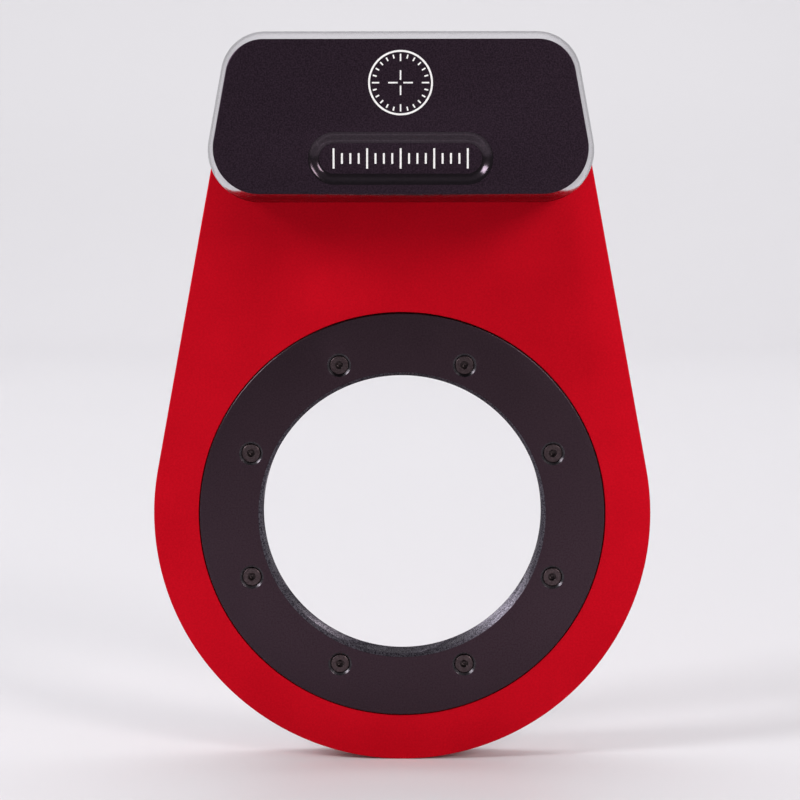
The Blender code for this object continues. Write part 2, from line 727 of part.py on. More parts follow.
def make_motor():
    face = -GAP
    back = face - MOTOR_LENGTH
    can_section = [
        (0.0, back),
        (MOTOR_RADIUS - MOTOR_EDGE_CHAMFER, back),
        (MOTOR_RADIUS, back + MOTOR_EDGE_CHAMFER),
        (MOTOR_RADIUS, face),
        (0.0, face),
    ]
    can = turned("motor_can", can_section, MOTOR_STEPS, MOTOR_CENTRE, closed=False)
    ears = stadium(EAR_SPACING + EAR_RADIUS, EAR_RADIUS)
    ear_back = face - EAR_FACE_STEP
    join(can, [plate("ears", [ears], face - EAR_THICKNESS, ear_back, MOTOR_CENTRE)])
    root = face - OVERCUT
    boss = rod("boss", MOTOR_BOSS_RADIUS, root, MOTOR_BOSS_END, MEDIUM_STEPS, PINION_CENTRE)
    join(can, [boss])
    bore_front, bore_back = SHAFT_FRONT - GAP, MOTOR_BOSS_END + OVERCUT
    bore = hole(PINION_CENTRE, bore_front, bore_back, SHAFT_RADIUS + GAP)
    ear_front = face - EAR_THICKNESS - OVERCUT
    cut(can, [bore] + [hole(centre, ear_front, OVERCUT) for centre in motor_ear_centres()])
    finish(can, ZINC)

    full_turn = circle(SHAFT_RADIUS, MEDIUM_STEPS)
    flatted = [(x, max(-SHAFT_FLAT, min(SHAFT_FLAT, z))) for x, z in full_turn]
    shaft = plate("motor_shaft", [flatted], SHAFT_FRONT, SHAFT_END, PINION_CENTRE)
    finish(shaft, BEARING_STEEL)

    phase = -math.pi / 2 + DRIVE_ANGLE
    bore = circle(SHAFT_RADIUS + GAP, MEDIUM_STEPS)
    loops = [gear_loop(PINION_TEETH, phase, 3), bore]
    finish(plate("pinion", loops, GEAR_FRONT, GEAR_BACK, PINION_CENTRE), BRASS)
    top = face - EAR_THICKNESS
    for number, centre in enumerate(motor_ear_centres(), 1):
        pan_head_screw(f"motor_screw_{number}", centre, top, MOTOR_SCREW_LENGTH, 1.0, ZINC)


def box(name, centre, size, front, back, look):
    return finish(plate(name, [rectangle((0.0, 0.0), size)], front, back, centre), look)


def make_electronics():
    x, z = BOARD_CENTRE
    places = [(post_x - x, post_z - z) for post_x, post_z in BOARD_POSTS]
    holes = [circle(THREAD_RADIUS + SCREW_CLEARANCE, SMALL_STEPS, place) for place in places]
    outline = rectangle((0.0, 0.0), BOARD_SIZE)
    board = plate("control_board", [outline] + holes, BOARD_FRONT, BOARD_BACK, BOARD_CENTRE)
    finish(board, BOARD_GREEN)
    for number, centre in enumerate(BOARD_POSTS, 1):
        screw = f"board_screw_{number}"
        pan_head_screw(screw, centre, BOARD_FRONT, BOARD_SCREW_LENGTH, 1.0, ZINC)

    top = BOARD_FRONT - GAP
    chip_top = top - CHIP_THICKNESS
    box("motor_driver_chip", DRIVER_CHIP_CENTRE, DRIVER_CHIP_SIZE, chip_top, top, CHIP_BLACK)
    box("microcontroller", CONTROLLER_CENTRE, CONTROLLER_SIZE, chip_top, top, CHIP_BLACK)
    connector_top = top - CONNECTOR_HEIGHT
    box("motor_connector", CONNECTOR_CENTRE, CONNECTOR_SIZE, connector_top, top, CONNECTOR_WHITE)
    can_top = top - CAPACITOR_HEIGHT
    capacitor = hole(CAPACITOR_CENTRE, can_top, top, CAPACITOR_RADIUS)
    capacitor.name = "capacitor"
    finish(capacitor, CAPACITOR_SILVER)

    usb_height = USB_TOP - USB_BOTTOM
    usb = plate(
        "usb_socket",
        [rectangle((0.0, 0.0), (USB_SIZE[0], usb_height))],
        top - USB_SIZE[1],
        top,
        (USB_X, USB_BOTTOM + usb_height / 2),
    )
    cavity = plate(
        "usb_mouth",
        [rectangle((0.0, 0.0), (USB_SIZE[0] - 2 * USB_WALL, 2 * USB_MOUTH_DEPTH))],
        top - USB_SIZE[1] + USB_WALL,
        top - USB_WALL,
        (USB_X, USB_BOTTOM + usb_height),
    )
    cut(usb, [cavity])
    finish(usb, ZINC)


def cable_route():
    """The motor's lead as (x, depth, z) points: from the can's side, over the board's edge, and
    down into its connector."""
    x, z = MOTOR_CENTRE
    end_x, end_z = CONNECTOR_CENTRE
    points = [
        (x + 9.4, -8.0, z + 8.6),
        (x + 10.6, -8.6, z + 10.0),
        (x + 13.0, -12.2, z + 11.2),
        (end_x - 5.0, -15.6, end_z + 2.6),
        (end_x - 1.0, -15.8, end_z + 0.6),
        (end_x, -13.6, end_z),
        (end_x, -11.3, end_z),
    ]
    return [Vector(p) for p in points]


def smooth_route(points, spacing):
    """Points along a Catmull-Rom curve through the route's points."""
    padded = [points[0] * 2 - points[1]] + points + [points[-1] * 2 - points[-2]]
    route = []
    for i in range(len(points) - 1):
        a, b, c, d = padded[i : i + 4]
        count = max(2, round((c - b).length / spacing))
        for k in range(count):
            t = k / count
            square = 2 * a - 5 * b + 4 * c - d
            cube = 3 * b - a - 3 * c + d
            route.append(0.5 * (2 * b + (c - a) * t + square * t**2 + cube * t**3))
    return route + [points[-1]]


def make_motor_cable():
    route = smooth_route(cable_route(), CABLE_POINT_SPACING)
    curve = bpy.data.curves.new("motor_cable", "CURVE")
    curve.dimensions = "3D"
    curve.bevel_depth = CABLE_RADIUS * MM
    curve.bevel_resolution = 2
    curve.use_fill_caps = True
    spline = curve.splines.new("POLY")
    spline.points.add(len(route) - 1)
    for point, place in zip(spline.points, route):
        point.co = (place.x * MM, y_of(place.y), place.z * MM, 1.0)
    lead = bpy.data.objects.new("motor_cable_path", curve)
    PARTS.objects.link(lead)
    return finish(as_mesh(lead, "motor_cable"), CABLE_GREY)


def shell_outline(inset):
    return tapered_outline(
        SHELL_BOTTOM + inset,
        BODY_TOP - inset,
        SHELL_SIDE_INSET + inset,
        SHELL_BOTTOM_CORNER - inset,
        BODY_TOP_CORNER - inset,
    )


def make_cover_shell():
    face = -SHELL_HEIGHT
    outside = shell_outline(0.0)
    levels = [(shell_outline(SHELL_CHAMFER), face), (outside, face + SHELL_CHAMFER_DEPTH)]
    shell = lofted("cover_shell", levels + [(outside, -GAP)])
    ceiling = face + SHELL_WALL
    cut(shell, [plate("shell_hollow", [shell_outline(SHELL_WALL)], ceiling, OVERCUT)])
    root = ceiling - JOIN_OVERLAP
    join(shell, [hole(centre, root, -GAP, SHELL_BOSS_RADIUS) for centre in SHELL_BOSSES])
    pill = stadium(BADGE_HALF_LENGTH, BADGE_HALF_HEIGHT)
    usb_depth = BOARD_FRONT - GAP - USB_SIZE[1] / 2
    slot_height = 2 * (SHELL_WALL + OVERCUT)
    slot = rectangle((USB_X, BODY_TOP), (USB_SIZE[0] + 2 * GAP, slot_height))
    half_slot = USB_SIZE[1] / 2 + GAP
    recess = plate("badge_recess", [pill], face - OVERCUT, face + BADGE_DEPTH, (0.0, BADGE_HEIGHT))
    usb_slot = plate("usb_slot", [slot], usb_depth - half_slot, usb_depth + half_slot)
    screw_holes = [hole(centre, SHELL_HOLE_END, OVERCUT) for centre in SHELL_BOSSES]
    cut(shell, [recess, usb_slot] + screw_holes)
    for number, centre in enumerate(SHELL_BOSSES, 1):
        pan_head_screw(f"cover_screw_{number}", centre, FRONT_WALL, COVER_SCREW_LENGTH, -1.0)
    return finish(shell, SHELL_BLACK)


def make_rear_screws():
    for number, centre in enumerate(rear_screw_centres(), 1):
        screw = f"rear_cover_screw_{number}"
        flat_head_screw(screw, centre, PLATE_BACK, REAR_SCREW_LENGTH, -1.0)


make_main_body()
make_rear_cover()
make_front_ring()
make_rotor_gear()
make_bearing()
make_rear_flange()
make_idler()
make_motor()
make_electronics()
make_motor_cable()
make_cover_shell()
make_rear_screws()
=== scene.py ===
"""Looks of the motorised camera rotator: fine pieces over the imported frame, materials, studio, camera.

Metres throughout: a length written in millimetres is multiplied by MM. X is right, Z is up and the
front faces -Y. Places come from the frame's own boxes.
"""

import math

import bmesh
import bpy
from mathutils import Matrix, Vector


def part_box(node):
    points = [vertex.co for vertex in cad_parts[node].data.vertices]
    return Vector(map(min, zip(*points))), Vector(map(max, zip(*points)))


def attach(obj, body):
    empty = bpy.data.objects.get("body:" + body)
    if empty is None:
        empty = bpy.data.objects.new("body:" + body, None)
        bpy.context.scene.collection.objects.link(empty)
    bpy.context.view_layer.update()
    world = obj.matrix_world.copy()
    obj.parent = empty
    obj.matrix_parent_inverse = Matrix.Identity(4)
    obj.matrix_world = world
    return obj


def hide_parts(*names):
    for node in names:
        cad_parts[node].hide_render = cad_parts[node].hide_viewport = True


MM = 0.001
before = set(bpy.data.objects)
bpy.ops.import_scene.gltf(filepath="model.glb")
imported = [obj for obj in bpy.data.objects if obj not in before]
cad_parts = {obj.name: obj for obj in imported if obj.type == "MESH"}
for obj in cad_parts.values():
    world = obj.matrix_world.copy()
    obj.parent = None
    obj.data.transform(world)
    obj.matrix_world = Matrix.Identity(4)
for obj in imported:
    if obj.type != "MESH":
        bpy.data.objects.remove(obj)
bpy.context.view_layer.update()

# Places and sizes read from the frame.
RING_LOW, RING_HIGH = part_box("front_ring")
FLANGE_LOW, FLANGE_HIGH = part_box("rear_flange")
COVER_LOW, COVER_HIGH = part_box("rear_cover")
SHELL_LOW, SHELL_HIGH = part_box("cover_shell")
USB_LOW, USB_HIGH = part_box("usb_socket")
BOARD_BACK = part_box("control_board")[1].y
FLOOR_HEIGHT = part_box("main_body")[0].z

# Room between neighbours, and how far a cutter or a joined boss runs past the face it meets.
GAP = 0.3 * MM
SEAM = 0.06 * MM
OVERCUT = 1.0 * MM
OVERLAP = 0.5 * MM

# The plate and its rear cover, as in the frame.
RING_PROUD = 0.4 * MM
PLATE_FRONT = RING_LOW.y + RING_PROUD
COVER_THICKNESS = 1.2 * MM
COVER_FRONT = COVER_HIGH.y - COVER_THICKNESS
FRONT_WALL = 1.5 * MM
BODY_RADIUS = -COVER_LOW.z
BODY_TOP = COVER_HIGH.z
LEAN = math.radians(10.54)
TOP_CORNER = 8.0 * MM
EDGE_ROUND = 0.25 * MM
GEAR_POCKET = 41.7 * MM
UPPER_POCKET_BOTTOM = 40.0 * MM
UPPER_POCKET_TOP = 86.2 * MM
UPPER_POCKET_INSET = 3.6 * MM
UPPER_POCKET_CORNER = 3.0 * MM
RING_GAP = 0.14 * MM
OPENING_CHAMFER = 0.08 * MM
BOSS_RADIUS = 2.9 * MM
BOSS_ROOT = PLATE_FRONT + 1.0 * MM
TAPPED_HOLE_START = PLATE_FRONT + 3.5 * MM
POST_RADIUS = 1.9 * MM
POST_HOLE_END = PLATE_FRONT - 0.6 * MM
THROUGH_FRONT = PLATE_FRONT - OVERCUT
THROUGH_BACK = PLATE_FRONT + 3 * MM
MOTOR_BOSS_HOLE = 4.8 * MM
SCREW_HOLE = 1.3 * MM
REAR_SCREW_DEPTH = 4.2 * MM

# Ring, flange, bearing and idler. The threads are M54 x 0.75 in the ring and M56 x 0.75 in the flange.
BORE_RADIUS = 26.7 * MM
FLANGE_BORE_RADIUS = 27.6 * MM
THREAD_DEPTH = 0.4 * MM
THREAD_PITCH = 0.75 * MM
THREAD_ROWS = 10
THREAD_RUN_OUT = 0.6 * THREAD_PITCH
BORE_CHAMFER = 0.6 * MM
BORE_EDGE = 0.05 * MM
RIM_ROUND = 0.25 * MM
SPIGOT_RADIUS = 28.4 * MM
FLANGE_SPIGOT_RADIUS = 29.0 * MM
RING_THICKNESS = 2.0 * MM
FLANGE_THICKNESS = 0.9 * MM
BEARING_SEAT = 37.0 * MM
BEARING_SHOULDER = 35.6 * MM
IDLER_BOSS_RADIUS = 3.4 * MM
IDLER_PIN_HOLE = 1.8 * MM
IDLER_HOLE_START = 0.8 * MM
IDLER_HOLE_SKIN = 0.1 * MM
FLANGE_GAP = 0.1 * MM
RING_SCREW_DEPTH = 4.0 * MM
FLANGE_SCREW_DEPTH = 2.0 * MM

# The cover and its bright chamfer.
SHELL_SIDE_INSET = 0.25 * MM
SHELL_CORNERS = (9.4 * MM, 8.0 * MM)
CHAMFER_SIDE = 1.38 * MM
CHAMFER_TOP = 1.75 * MM
CHAMFER_BOTTOM = 1.55 * MM
CHAMFER_DEPTH = 4.5 * MM
CHAMFER_LINE = 0.14 * MM
CHAMFER_LINE_BOTTOM = 0.05 * MM
SHELL_WALL = 2.0 * MM
SHELL_BOSS_RADIUS = 3.0 * MM
SHELL_CORNER_LEAST = 0.5 * MM
SHELL_HOLE_FRONT = PLATE_FRONT - 8 * MM
PRINT_HEIGHT = 0.02 * MM
PRINT_DEPTH = 0.01 * MM
BADGE_HALF_LENGTH = 16.55 * MM
BADGE_HALF_HEIGHT = 4.7 * MM
BADGE_HEIGHT = 67.3 * MM
BADGE_SLOPE = 2.0 * MM
BADGE_DEPTH = 0.9 * MM
BADGE_STEPS = 12

# The printed dial and scale.
DIAL_HEIGHT = 80.7 * MM
DIAL_RADIUS = 5.6 * MM
DIAL_LINE = 0.34 * MM
TICK_COUNT = 24
TICK_WIDTH = 0.26 * MM
TICK_END = DIAL_RADIUS - 0.5 * MM
TICK_LENGTHS = (1.3 * MM, 0.7 * MM)
CROSS_ARM = (0.5 * MM, 2.2 * MM)
SCALE_STEP = 1.5 * MM
SCALE_SIDE_BARS = 8
BAR_HEIGHTS = (3.6 * MM, 1.9 * MM)

# Screws and their countersinks.
FLAT_HEAD_RADIUS = 1.7 * MM
FLAT_HEAD_EDGE = 0.12 * MM
SCREW_RADIUS = 1.0 * MM
SCREW_TIP = 0.2 * MM
COUNTERSINK_RADIUS = 2.2 * MM
COUNTERSINK_RIM = COUNTERSINK_RADIUS + 0.05 * MM
COUNTERSINK_BREAK = (0.27 * MM, 0.17 * MM)
HEX_FLATS = 1.3 * MM
HEX_CORNER = HEX_FLATS / math.sqrt(3)
HEX_DEPTH = 1.15 * MM
HEX_POINT = 0.25 * MM

# The USB socket.
USB_CENTRE = ((USB_LOW.x + USB_HIGH.x) / 2, (USB_LOW.y + USB_HIGH.y) / 2)
USB_HALF = ((USB_HIGH.x - USB_LOW.x) / 2, (USB_HIGH.y - USB_LOW.y) / 2)
USB_WALL = 0.3 * MM
USB_FLOOR = USB_LOW.z + 1.0 * MM
TONGUE_HALF = (3.3 * MM, 0.35 * MM)
CONTACT_HALF = (0.16 * MM, 0.02 * MM)
CONTACT_STEP = 0.95 * MM
CONTACTS_PER_SIDE = 6

# Sides of round shapes, by size, and steps in a rounded edge.
FINE = 240
SCREW_SIDES = 64
MEDIUM = 48
SMALL = 32
EDGE_STEPS = 4


# ---------------------------------------------------------------- outlines


def arc(radius, start, end, steps, centre=(0.0, 0.0)):
    turns = [start + (end - start) * i / steps for i in range(steps + 1)]
    return [(centre[0] + radius * math.cos(a), centre[1] + radius * math.sin(a)) for a in turns]


def circle(radius, steps, centre=(0.0, 0.0)):
    return arc(radius, 0.0, 2 * math.pi, steps, centre)[:-1]


def fillet(before, corner, after, radius, steps=16):
    """The arc that rounds one corner of an outline."""
    corner = Vector(corner)
    to_before = (Vector(before) - corner).normalized()
    to_after = (Vector(after) - corner).normalized()
    half = to_before.angle(to_after) / 2
    centre = corner + (to_before + to_after).normalized() * radius / math.sin(half)
    start = corner + to_before * radius / math.tan(half) - centre
    end = corner + to_after * radius / math.tan(half) - centre
    swing = start.angle_signed(end)
    first = math.atan2(start.y, start.x)
    return arc(radius, first, first - swing, steps, centre)


def side_x(z, inset):
    """Half the plate's width at height z, on a side moved inwards by inset."""
    return (BODY_RADIUS - inset - z * math.sin(LEAN)) / math.cos(LEAN)


def tapered_outline(bottom, top, inset, bottom_corner, top_corner):
    """A rounded outline between two heights whose sides follow the plate's leaning sides."""
    corners = [
        (side_x(bottom, inset), bottom),
        (side_x(top, inset), top),
        (-side_x(top, inset), top),
        (-side_x(bottom, inset), bottom),
    ]
    radii = (bottom_corner, top_corner, top_corner, bottom_corner)
    outline = []
    for i, radius in enumerate(radii):
        outline += fillet(corners[i - 1], corners[i], corners[(i + 1) % 4], radius)
    return outline


def body_outline(inset=0.0):
    """The whole plate: its round bottom, then the two top corners."""
    bottom = arc(BODY_RADIUS - inset, math.pi - LEAN, 2 * math.pi + LEAN, FINE)
    right = (side_x(BODY_TOP - inset, inset), BODY_TOP - inset)
    left = (-right[0], right[1])
    top = fillet(bottom[-1], right, left, TOP_CORNER - inset)
    return bottom + top + fillet(right, left, bottom[0], TOP_CORNER - inset)


def stadium(half_length, half_width, centre, steps=24):
    """A slot shape: a rectangle with a half circle on each end."""
    straight = half_length - half_width
    quarter = math.pi / 2
    x, z = centre
    right = arc(half_width, -quarter, quarter, steps, (x + straight, z))
    return right + arc(half_width, quarter, 3 * quarter, steps, (x - straight, z))


def rectangle(centre, width, height):
    x, z = centre
    w, h = width / 2, height / 2
    return [(x - w, z - h), (x + w, z - h), (x + w, z + h), (x - w, z + h)]


# ---------------------------------------------------------------- solids


def add_loop(shape, outline, y):
    return [shape.verts.new((x, y, z)) for x, z in outline]


def bridge(shape, one, other, material_index=0):
    """Quads between two loops with the same number of points."""
    count = len(one)
    for i in range(count):
        j = (i + 1) % count
        face = shape.faces.new((one[i], one[j], other[j], other[i]))
        face.material_index = material_index


def to_object(shape, name):
    bmesh.ops.remove_doubles(shape, verts=shape.verts, dist=1e-7)
    bmesh.ops.recalc_face_normals(shape, faces=shape.faces)
    mesh = bpy.data.meshes.new(name)
    shape.to_mesh(mesh)
    shape.free()
    made = bpy.data.objects.new(name, mesh)
    bpy.context.scene.collection.objects.link(made)
    return made


def lofted(name, levels):
    """A solid through (outline, y) levels, closed at both ends."""
    shape = bmesh.new()
    loops = [add_loop(shape, outline, y) for outline, y in levels]
    for one, other in zip(loops, loops[1:]):
        bridge(shape, one, other)
    shape.faces.new(loops[0])
    shape.faces.new(loops[-1])
    return to_object(shape, name)


def turned(name, profile, steps=FINE, centre=(0.0, 0.0)):
    """A solid of revolution about an axis along Y, from a closed section of (radius, y) points."""
    shape = bmesh.new()
    x, z = centre
    rings = []
    for radius, y in profile:
        if radius == 0.0:
            rings.append([shape.verts.new((x, y, z))])
        else:
            rings.append(add_loop(shape, circle(radius, steps, centre), y))
    for one, other in zip(rings, rings[1:] + rings[:1]):
        if len(one) == 1 and len(other) == 1:
            continue
        for i in range(steps):
            j = (i + 1) % steps
            near = [one[k % len(one)] for k in (i, j)]
            far = [other[k % len(other)] for k in (j, i)]
            shape.faces.new(list(dict.fromkeys(near + far)))
    return to_object(shape, name)


def rod(centre, front, back, radius=SCREW_HOLE, steps=SMALL):
    """A round boss or hole, a screw's clearance hole unless told otherwise."""
    section = [(0.0, front), (radius, front), (radius, back), (0.0, back)]
    return turned("rod", section, steps, centre)


def prism(outline, front, back):
    return lofted("prism", [(outline, front), (outline, back)])


def merged(pieces):
    """One object that holds several separate closed shapes."""
    shape = bmesh.new()
    for piece in pieces:
        shape.from_mesh(piece.data)
        bpy.data.objects.remove(piece, do_unlink=True)
    return to_object(shape, "tool")


def boolean(part, operation, pieces):
    """Cuts pieces from a part, or joins them to it, and uses them up."""
    tool = merged(pieces)
    modifier = part.modifiers.new("Boolean", "BOOLEAN")
    modifier.operation = operation
    modifier.object = tool
    bpy.context.view_layer.update()
    graph = bpy.context.evaluated_depsgraph_get()
    result = bpy.data.meshes.new_from_object(part.evaluated_get(graph))
    part.modifiers.clear()
    part.data = result
    bpy.data.objects.remove(tool, do_unlink=True)
    return part


def cut(part, pieces):
    return boolean(part, "DIFFERENCE", pieces)


def join(part, pieces):
    return boolean(part, "UNION", pieces)


def rounded_rim(radius, y, inwards):
    """Section points of a rounded outer edge. Inwards is the sense of Y into the solid."""
    size = RIM_ROUND
    centre_r, centre_y = radius - size, y + inwards * size
    turns = [math.pi / 2 * i / EDGE_STEPS for i in range(EDGE_STEPS + 1)]
    return [(centre_r + size * math.sin(a), centre_y - inwards * size * math.cos(a)) for a in turns]


def repaint(piece, index, chosen):
    """Moves the faces that a test picks to another of the piece's materials."""
    for face in piece.data.polygons:
        if chosen(face.center, face.normal):
            face.material_index = index


def middle_of(node):
    """The (x, z) middle of a frame node's box."""
    low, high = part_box(node)
    return ((low.x + high.x) / 2, (low.z + high.z) / 2)


def nodes_named(prefix):
    return sorted(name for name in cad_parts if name.startswith(prefix))


# ---------------------------------------------------------------- materials


class Graph:
    """Short names for building one material's node tree."""

    def __init__(self, name):
        self.material = bpy.data.materials.new(name)
        self.material.use_nodes = True
        self.tree = self.material.node_tree
        self.shader = self.tree.nodes["Principled BSDF"]
        self.coordinates = self.node("ShaderNodeTexCoord").outputs["Object"]

    def node(self, kind, **settings):
        made = self.tree.nodes.new(kind)
        for key, value in settings.items():
            setattr(made, key, value)
        return made

    def link(self, output, socket):
        self.tree.links.new(output, socket)

    def noise(self, scale, detail=2.0, stretch=None):
        made = self.node("ShaderNodeTexNoise")
        made.inputs["Scale"].default_value = scale
        made.inputs["Detail"].default_value = detail
        source = self.coordinates
        if stretch is not None:
            mapping = self.node("ShaderNodeMapping")
            mapping.inputs["Scale"].default_value = stretch
            self.link(source, mapping.inputs["Vector"])
            source = mapping.outputs["Vector"]
        self.link(source, made.inputs["Vector"])
        return made.outputs["Fac"]

    def spread(self, value, low, high, start=0.3, end=0.7):
        """Maps a noise onto a range of values."""
        made = self.node("ShaderNodeMapRange")
        made.inputs["From Min"].default_value = start
        made.inputs["From Max"].default_value = end
        made.inputs["To Min"].default_value = low
        made.inputs["To Max"].default_value = high
        self.link(value, made.inputs["Value"])
        return made.outputs["Result"]

    def tint(self, value, dark, light, start=0.3, end=0.7):
        """Maps a noise onto a range of colours."""
        made = self.node("ShaderNodeValToRGB")
        first, last = made.color_ramp.elements
        first.position, last.position = start, end
        first.color, last.color = (*dark, 1.0), (*light, 1.0)
        self.link(value, made.inputs["Fac"])
        return made.outputs["Color"]

    def bump(self, value, strength, height):
        """Adds a relief on top of those that the shader already has."""
        made = self.node("ShaderNodeBump")
        made.inputs["Strength"].default_value = strength
        made.inputs["Distance"].default_value = height
        self.link(value, made.inputs["Height"])
        previous = self.shader.inputs["Normal"].links
        if previous:
            self.link(previous[0].from_socket, made.inputs["Normal"])
        self.link(made.outputs["Normal"], self.shader.inputs["Normal"])

    def dusted(self, colour):
        """Adds a few pale specks of dust to a colour."""
        cells = self.node("ShaderNodeTexVoronoi")
        cells.inputs["Scale"].default_value = 260.0
        self.link(self.coordinates, cells.inputs["Vector"])
        chosen = self.node("ShaderNodeSeparateXYZ")
        self.link(cells.outputs["Color"], chosen.inputs["Vector"])
        rare = self.spread(chosen.outputs["X"], 0.0, 1.0, 0.96, 0.98)
        small = self.spread(cells.outputs["Distance"], 1.0, 0.0, 0.02, 0.05)
        speck = self.node("ShaderNodeMath", operation="MULTIPLY")
        self.link(rare, speck.inputs[0])
        self.link(small, speck.inputs[1])
        mixed = self.node("ShaderNodeMix", data_type="RGBA")
        mixed.inputs[7].default_value = (0.80, 0.55, 0.50, 1.0)
        self.link(speck.outputs["Value"], mixed.inputs["Factor"])
        self.link(colour, mixed.inputs[6])
        return mixed.outputs[2]

    def set(self, **sockets):
        """Sets whole-surface values on the shader's own sockets."""
        for key, value in sockets.items():
            self.shader.inputs[key.replace("_", " ")].default_value = value


def blasted_metal(name, dark, light, roughness, grain):
    """Bead-blasted and anodised aluminium: dyed metal with a fine grain and a slight cloudiness."""
    look = Graph(name)
    look.set(Metallic=1.0)
    speckle = look.noise(2600.0, 3.0)
    cloud = look.noise(45.0, 3.0)
    mixed = look.node("ShaderNodeMix", data_type="FLOAT")
    mixed.inputs["Factor"].default_value = 0.45
    look.link(speckle, mixed.inputs["A"])
    look.link(cloud, mixed.inputs["B"])
    dyed = look.tint(mixed.outputs["Result"], dark, light, 0.36, 0.64)
    look.link(look.dusted(dyed), look.shader.inputs["Base Color"])
    look.link(look.spread(cloud, roughness - 0.04, roughness + 0.05), look.shader.inputs["Roughness"])
    look.bump(speckle, grain, 0.02 * MM)
    look.bump(look.noise(7000.0, 2.0), grain * 0.6, 0.01 * MM)
    return look.material


def speckled_metal(name, dark, light, roughness, grain):
    """Anodised aluminium with a fine, even sparkle and no clouds."""
    look = Graph(name)
    look.set(Metallic=1.0)
    speckle = look.noise(3600.0, 1.0)
    coarse = look.noise(1500.0, 2.0)
    look.link(look.tint(speckle, dark, light, 0.34, 0.66), look.shader.inputs["Base Color"])
    look.link(look.spread(coarse, roughness - 0.03, roughness + 0.03), look.shader.inputs["Roughness"])
    look.bump(speckle, grain, 0.012 * MM)
    look.bump(coarse, grain * 0.5, 0.02 * MM)
    return look.material


def cut_edge(name):
    """Bright cut aluminium with painted shade: darker along the cover's bottom run, standing in for the
    shaded plate that this run reflects.
    """
    look = Graph(name)
    look.set(Metallic=1.0)
    split = look.node("ShaderNodeSeparateXYZ")
    look.link(look.coordinates, split.inputs["Vector"])
    # Painted shade: the cut metal is dark up to these heights, standing in for the shaded plate that the
    # bottom chamfer reflects.
    painted_shade_full_below = SHELL_LOW.z + 0.7 * MM
    bright = SHELL_LOW.z + 2.2 * MM
    height = look.spread(split.outputs["Z"], 0.0, 1.0, painted_shade_full_below, bright)
    mottle = look.noise(1500.0, 3.0)
    # The low tint is the painted shade; the high tint is the cut metal's own colour.
    low = look.tint(mottle, (0.068, 0.064, 0.068), (0.090, 0.085, 0.090))
    high = look.tint(mottle, (0.57, 0.56, 0.58), (0.63, 0.62, 0.64))
    mixed = look.node("ShaderNodeMix", data_type="RGBA")
    look.link(height, mixed.inputs["Factor"])
    look.link(low, mixed.inputs[6])
    look.link(high, mixed.inputs[7])
    look.link(mixed.outputs[2], look.shader.inputs["Base Color"])
    look.link(look.spread(mottle, 0.14, 0.22), look.shader.inputs["Roughness"])
    look.bump(mottle, 0.02, 0.01 * MM)
    return look.material


def turned_metal(name, dark, light, roughness, groove):
    """Lathe-turned and anodised aluminium: faint concentric lines about the optical axis."""
    look = Graph(name)
    look.set(Metallic=1.0)
    squashed = look.node("ShaderNodeMapping")
    squashed.inputs["Scale"].default_value = (1.0, 0.0, 1.0)
    look.link(look.coordinates, squashed.inputs["Vector"])
    length = look.node("ShaderNodeVectorMath", operation="LENGTH")
    look.link(squashed.outputs["Vector"], length.inputs[0])
    rings = look.node("ShaderNodeTexNoise", noise_dimensions="1D")
    rings.inputs["Scale"].default_value = 5200.0
    rings.inputs["Detail"].default_value = 2.0
    look.link(length.outputs["Value"], rings.inputs["W"])
    cloud = look.noise(60.0, 3.0)
    speckle = look.noise(3200.0, 2.0)
    look.link(look.tint(speckle, dark, light, 0.35, 0.65), look.shader.inputs["Base Color"])
    look.link(look.spread(cloud, roughness - 0.04, roughness + 0.05), look.shader.inputs["Roughness"])
    look.bump(rings.outputs["Fac"], groove, 0.006 * MM)
    look.bump(speckle, groove * 0.7, 0.008 * MM)
    return look.material


def plain(name, dark, light, roughness, metallic=0.0, scale=900.0, grain=0.1):
    """A moulded, plated or machined small piece with a fine mottle."""
    look = Graph(name)
    look.set(Metallic=metallic)
    mottle = look.noise(scale, 3.0)
    look.link(look.tint(mottle, dark, light), look.shader.inputs["Base Color"])
    look.link(look.spread(mottle, roughness - 0.05, roughness + 0.05), look.shader.inputs["Roughness"])
    look.bump(mottle, grain, 0.01 * MM)
    return look.material


RED = blasted_metal("red_anodised", (0.52, 0.0038, 0.012), (0.64, 0.0058, 0.018), 0.56, 0.30)
SHELL_BLACK = speckled_metal("shell_black", (0.027, 0.017, 0.026), (0.052, 0.033, 0.049), 0.40, 0.4)
RECESS_BLACK = speckled_metal("recess_black", (0.034, 0.026, 0.033), (0.046, 0.036, 0.044), 0.18, 0.1)
SINK_BLACK = speckled_metal("sink_black", (0.036, 0.031, 0.036), (0.058, 0.052, 0.058), 0.28, 0.1)
# A darker copy of the screws' metal for the inside of their sockets: painted shade in the recess.
SOCKET_PAINTED_SHADE = plain("socket_painted_shade", (0.036, 0.027, 0.029), (0.070, 0.054, 0.056), 0.34, 1.0, 2500.0, 0.2)
BORE_WALL = speckled_metal("bore_wall", (0.028, 0.024, 0.031), (0.128, 0.117, 0.140), 0.30, 0.8)
RING_BLACK = turned_metal("ring_black", (0.037, 0.022, 0.030), (0.048, 0.030, 0.039), 0.42, 0.14)
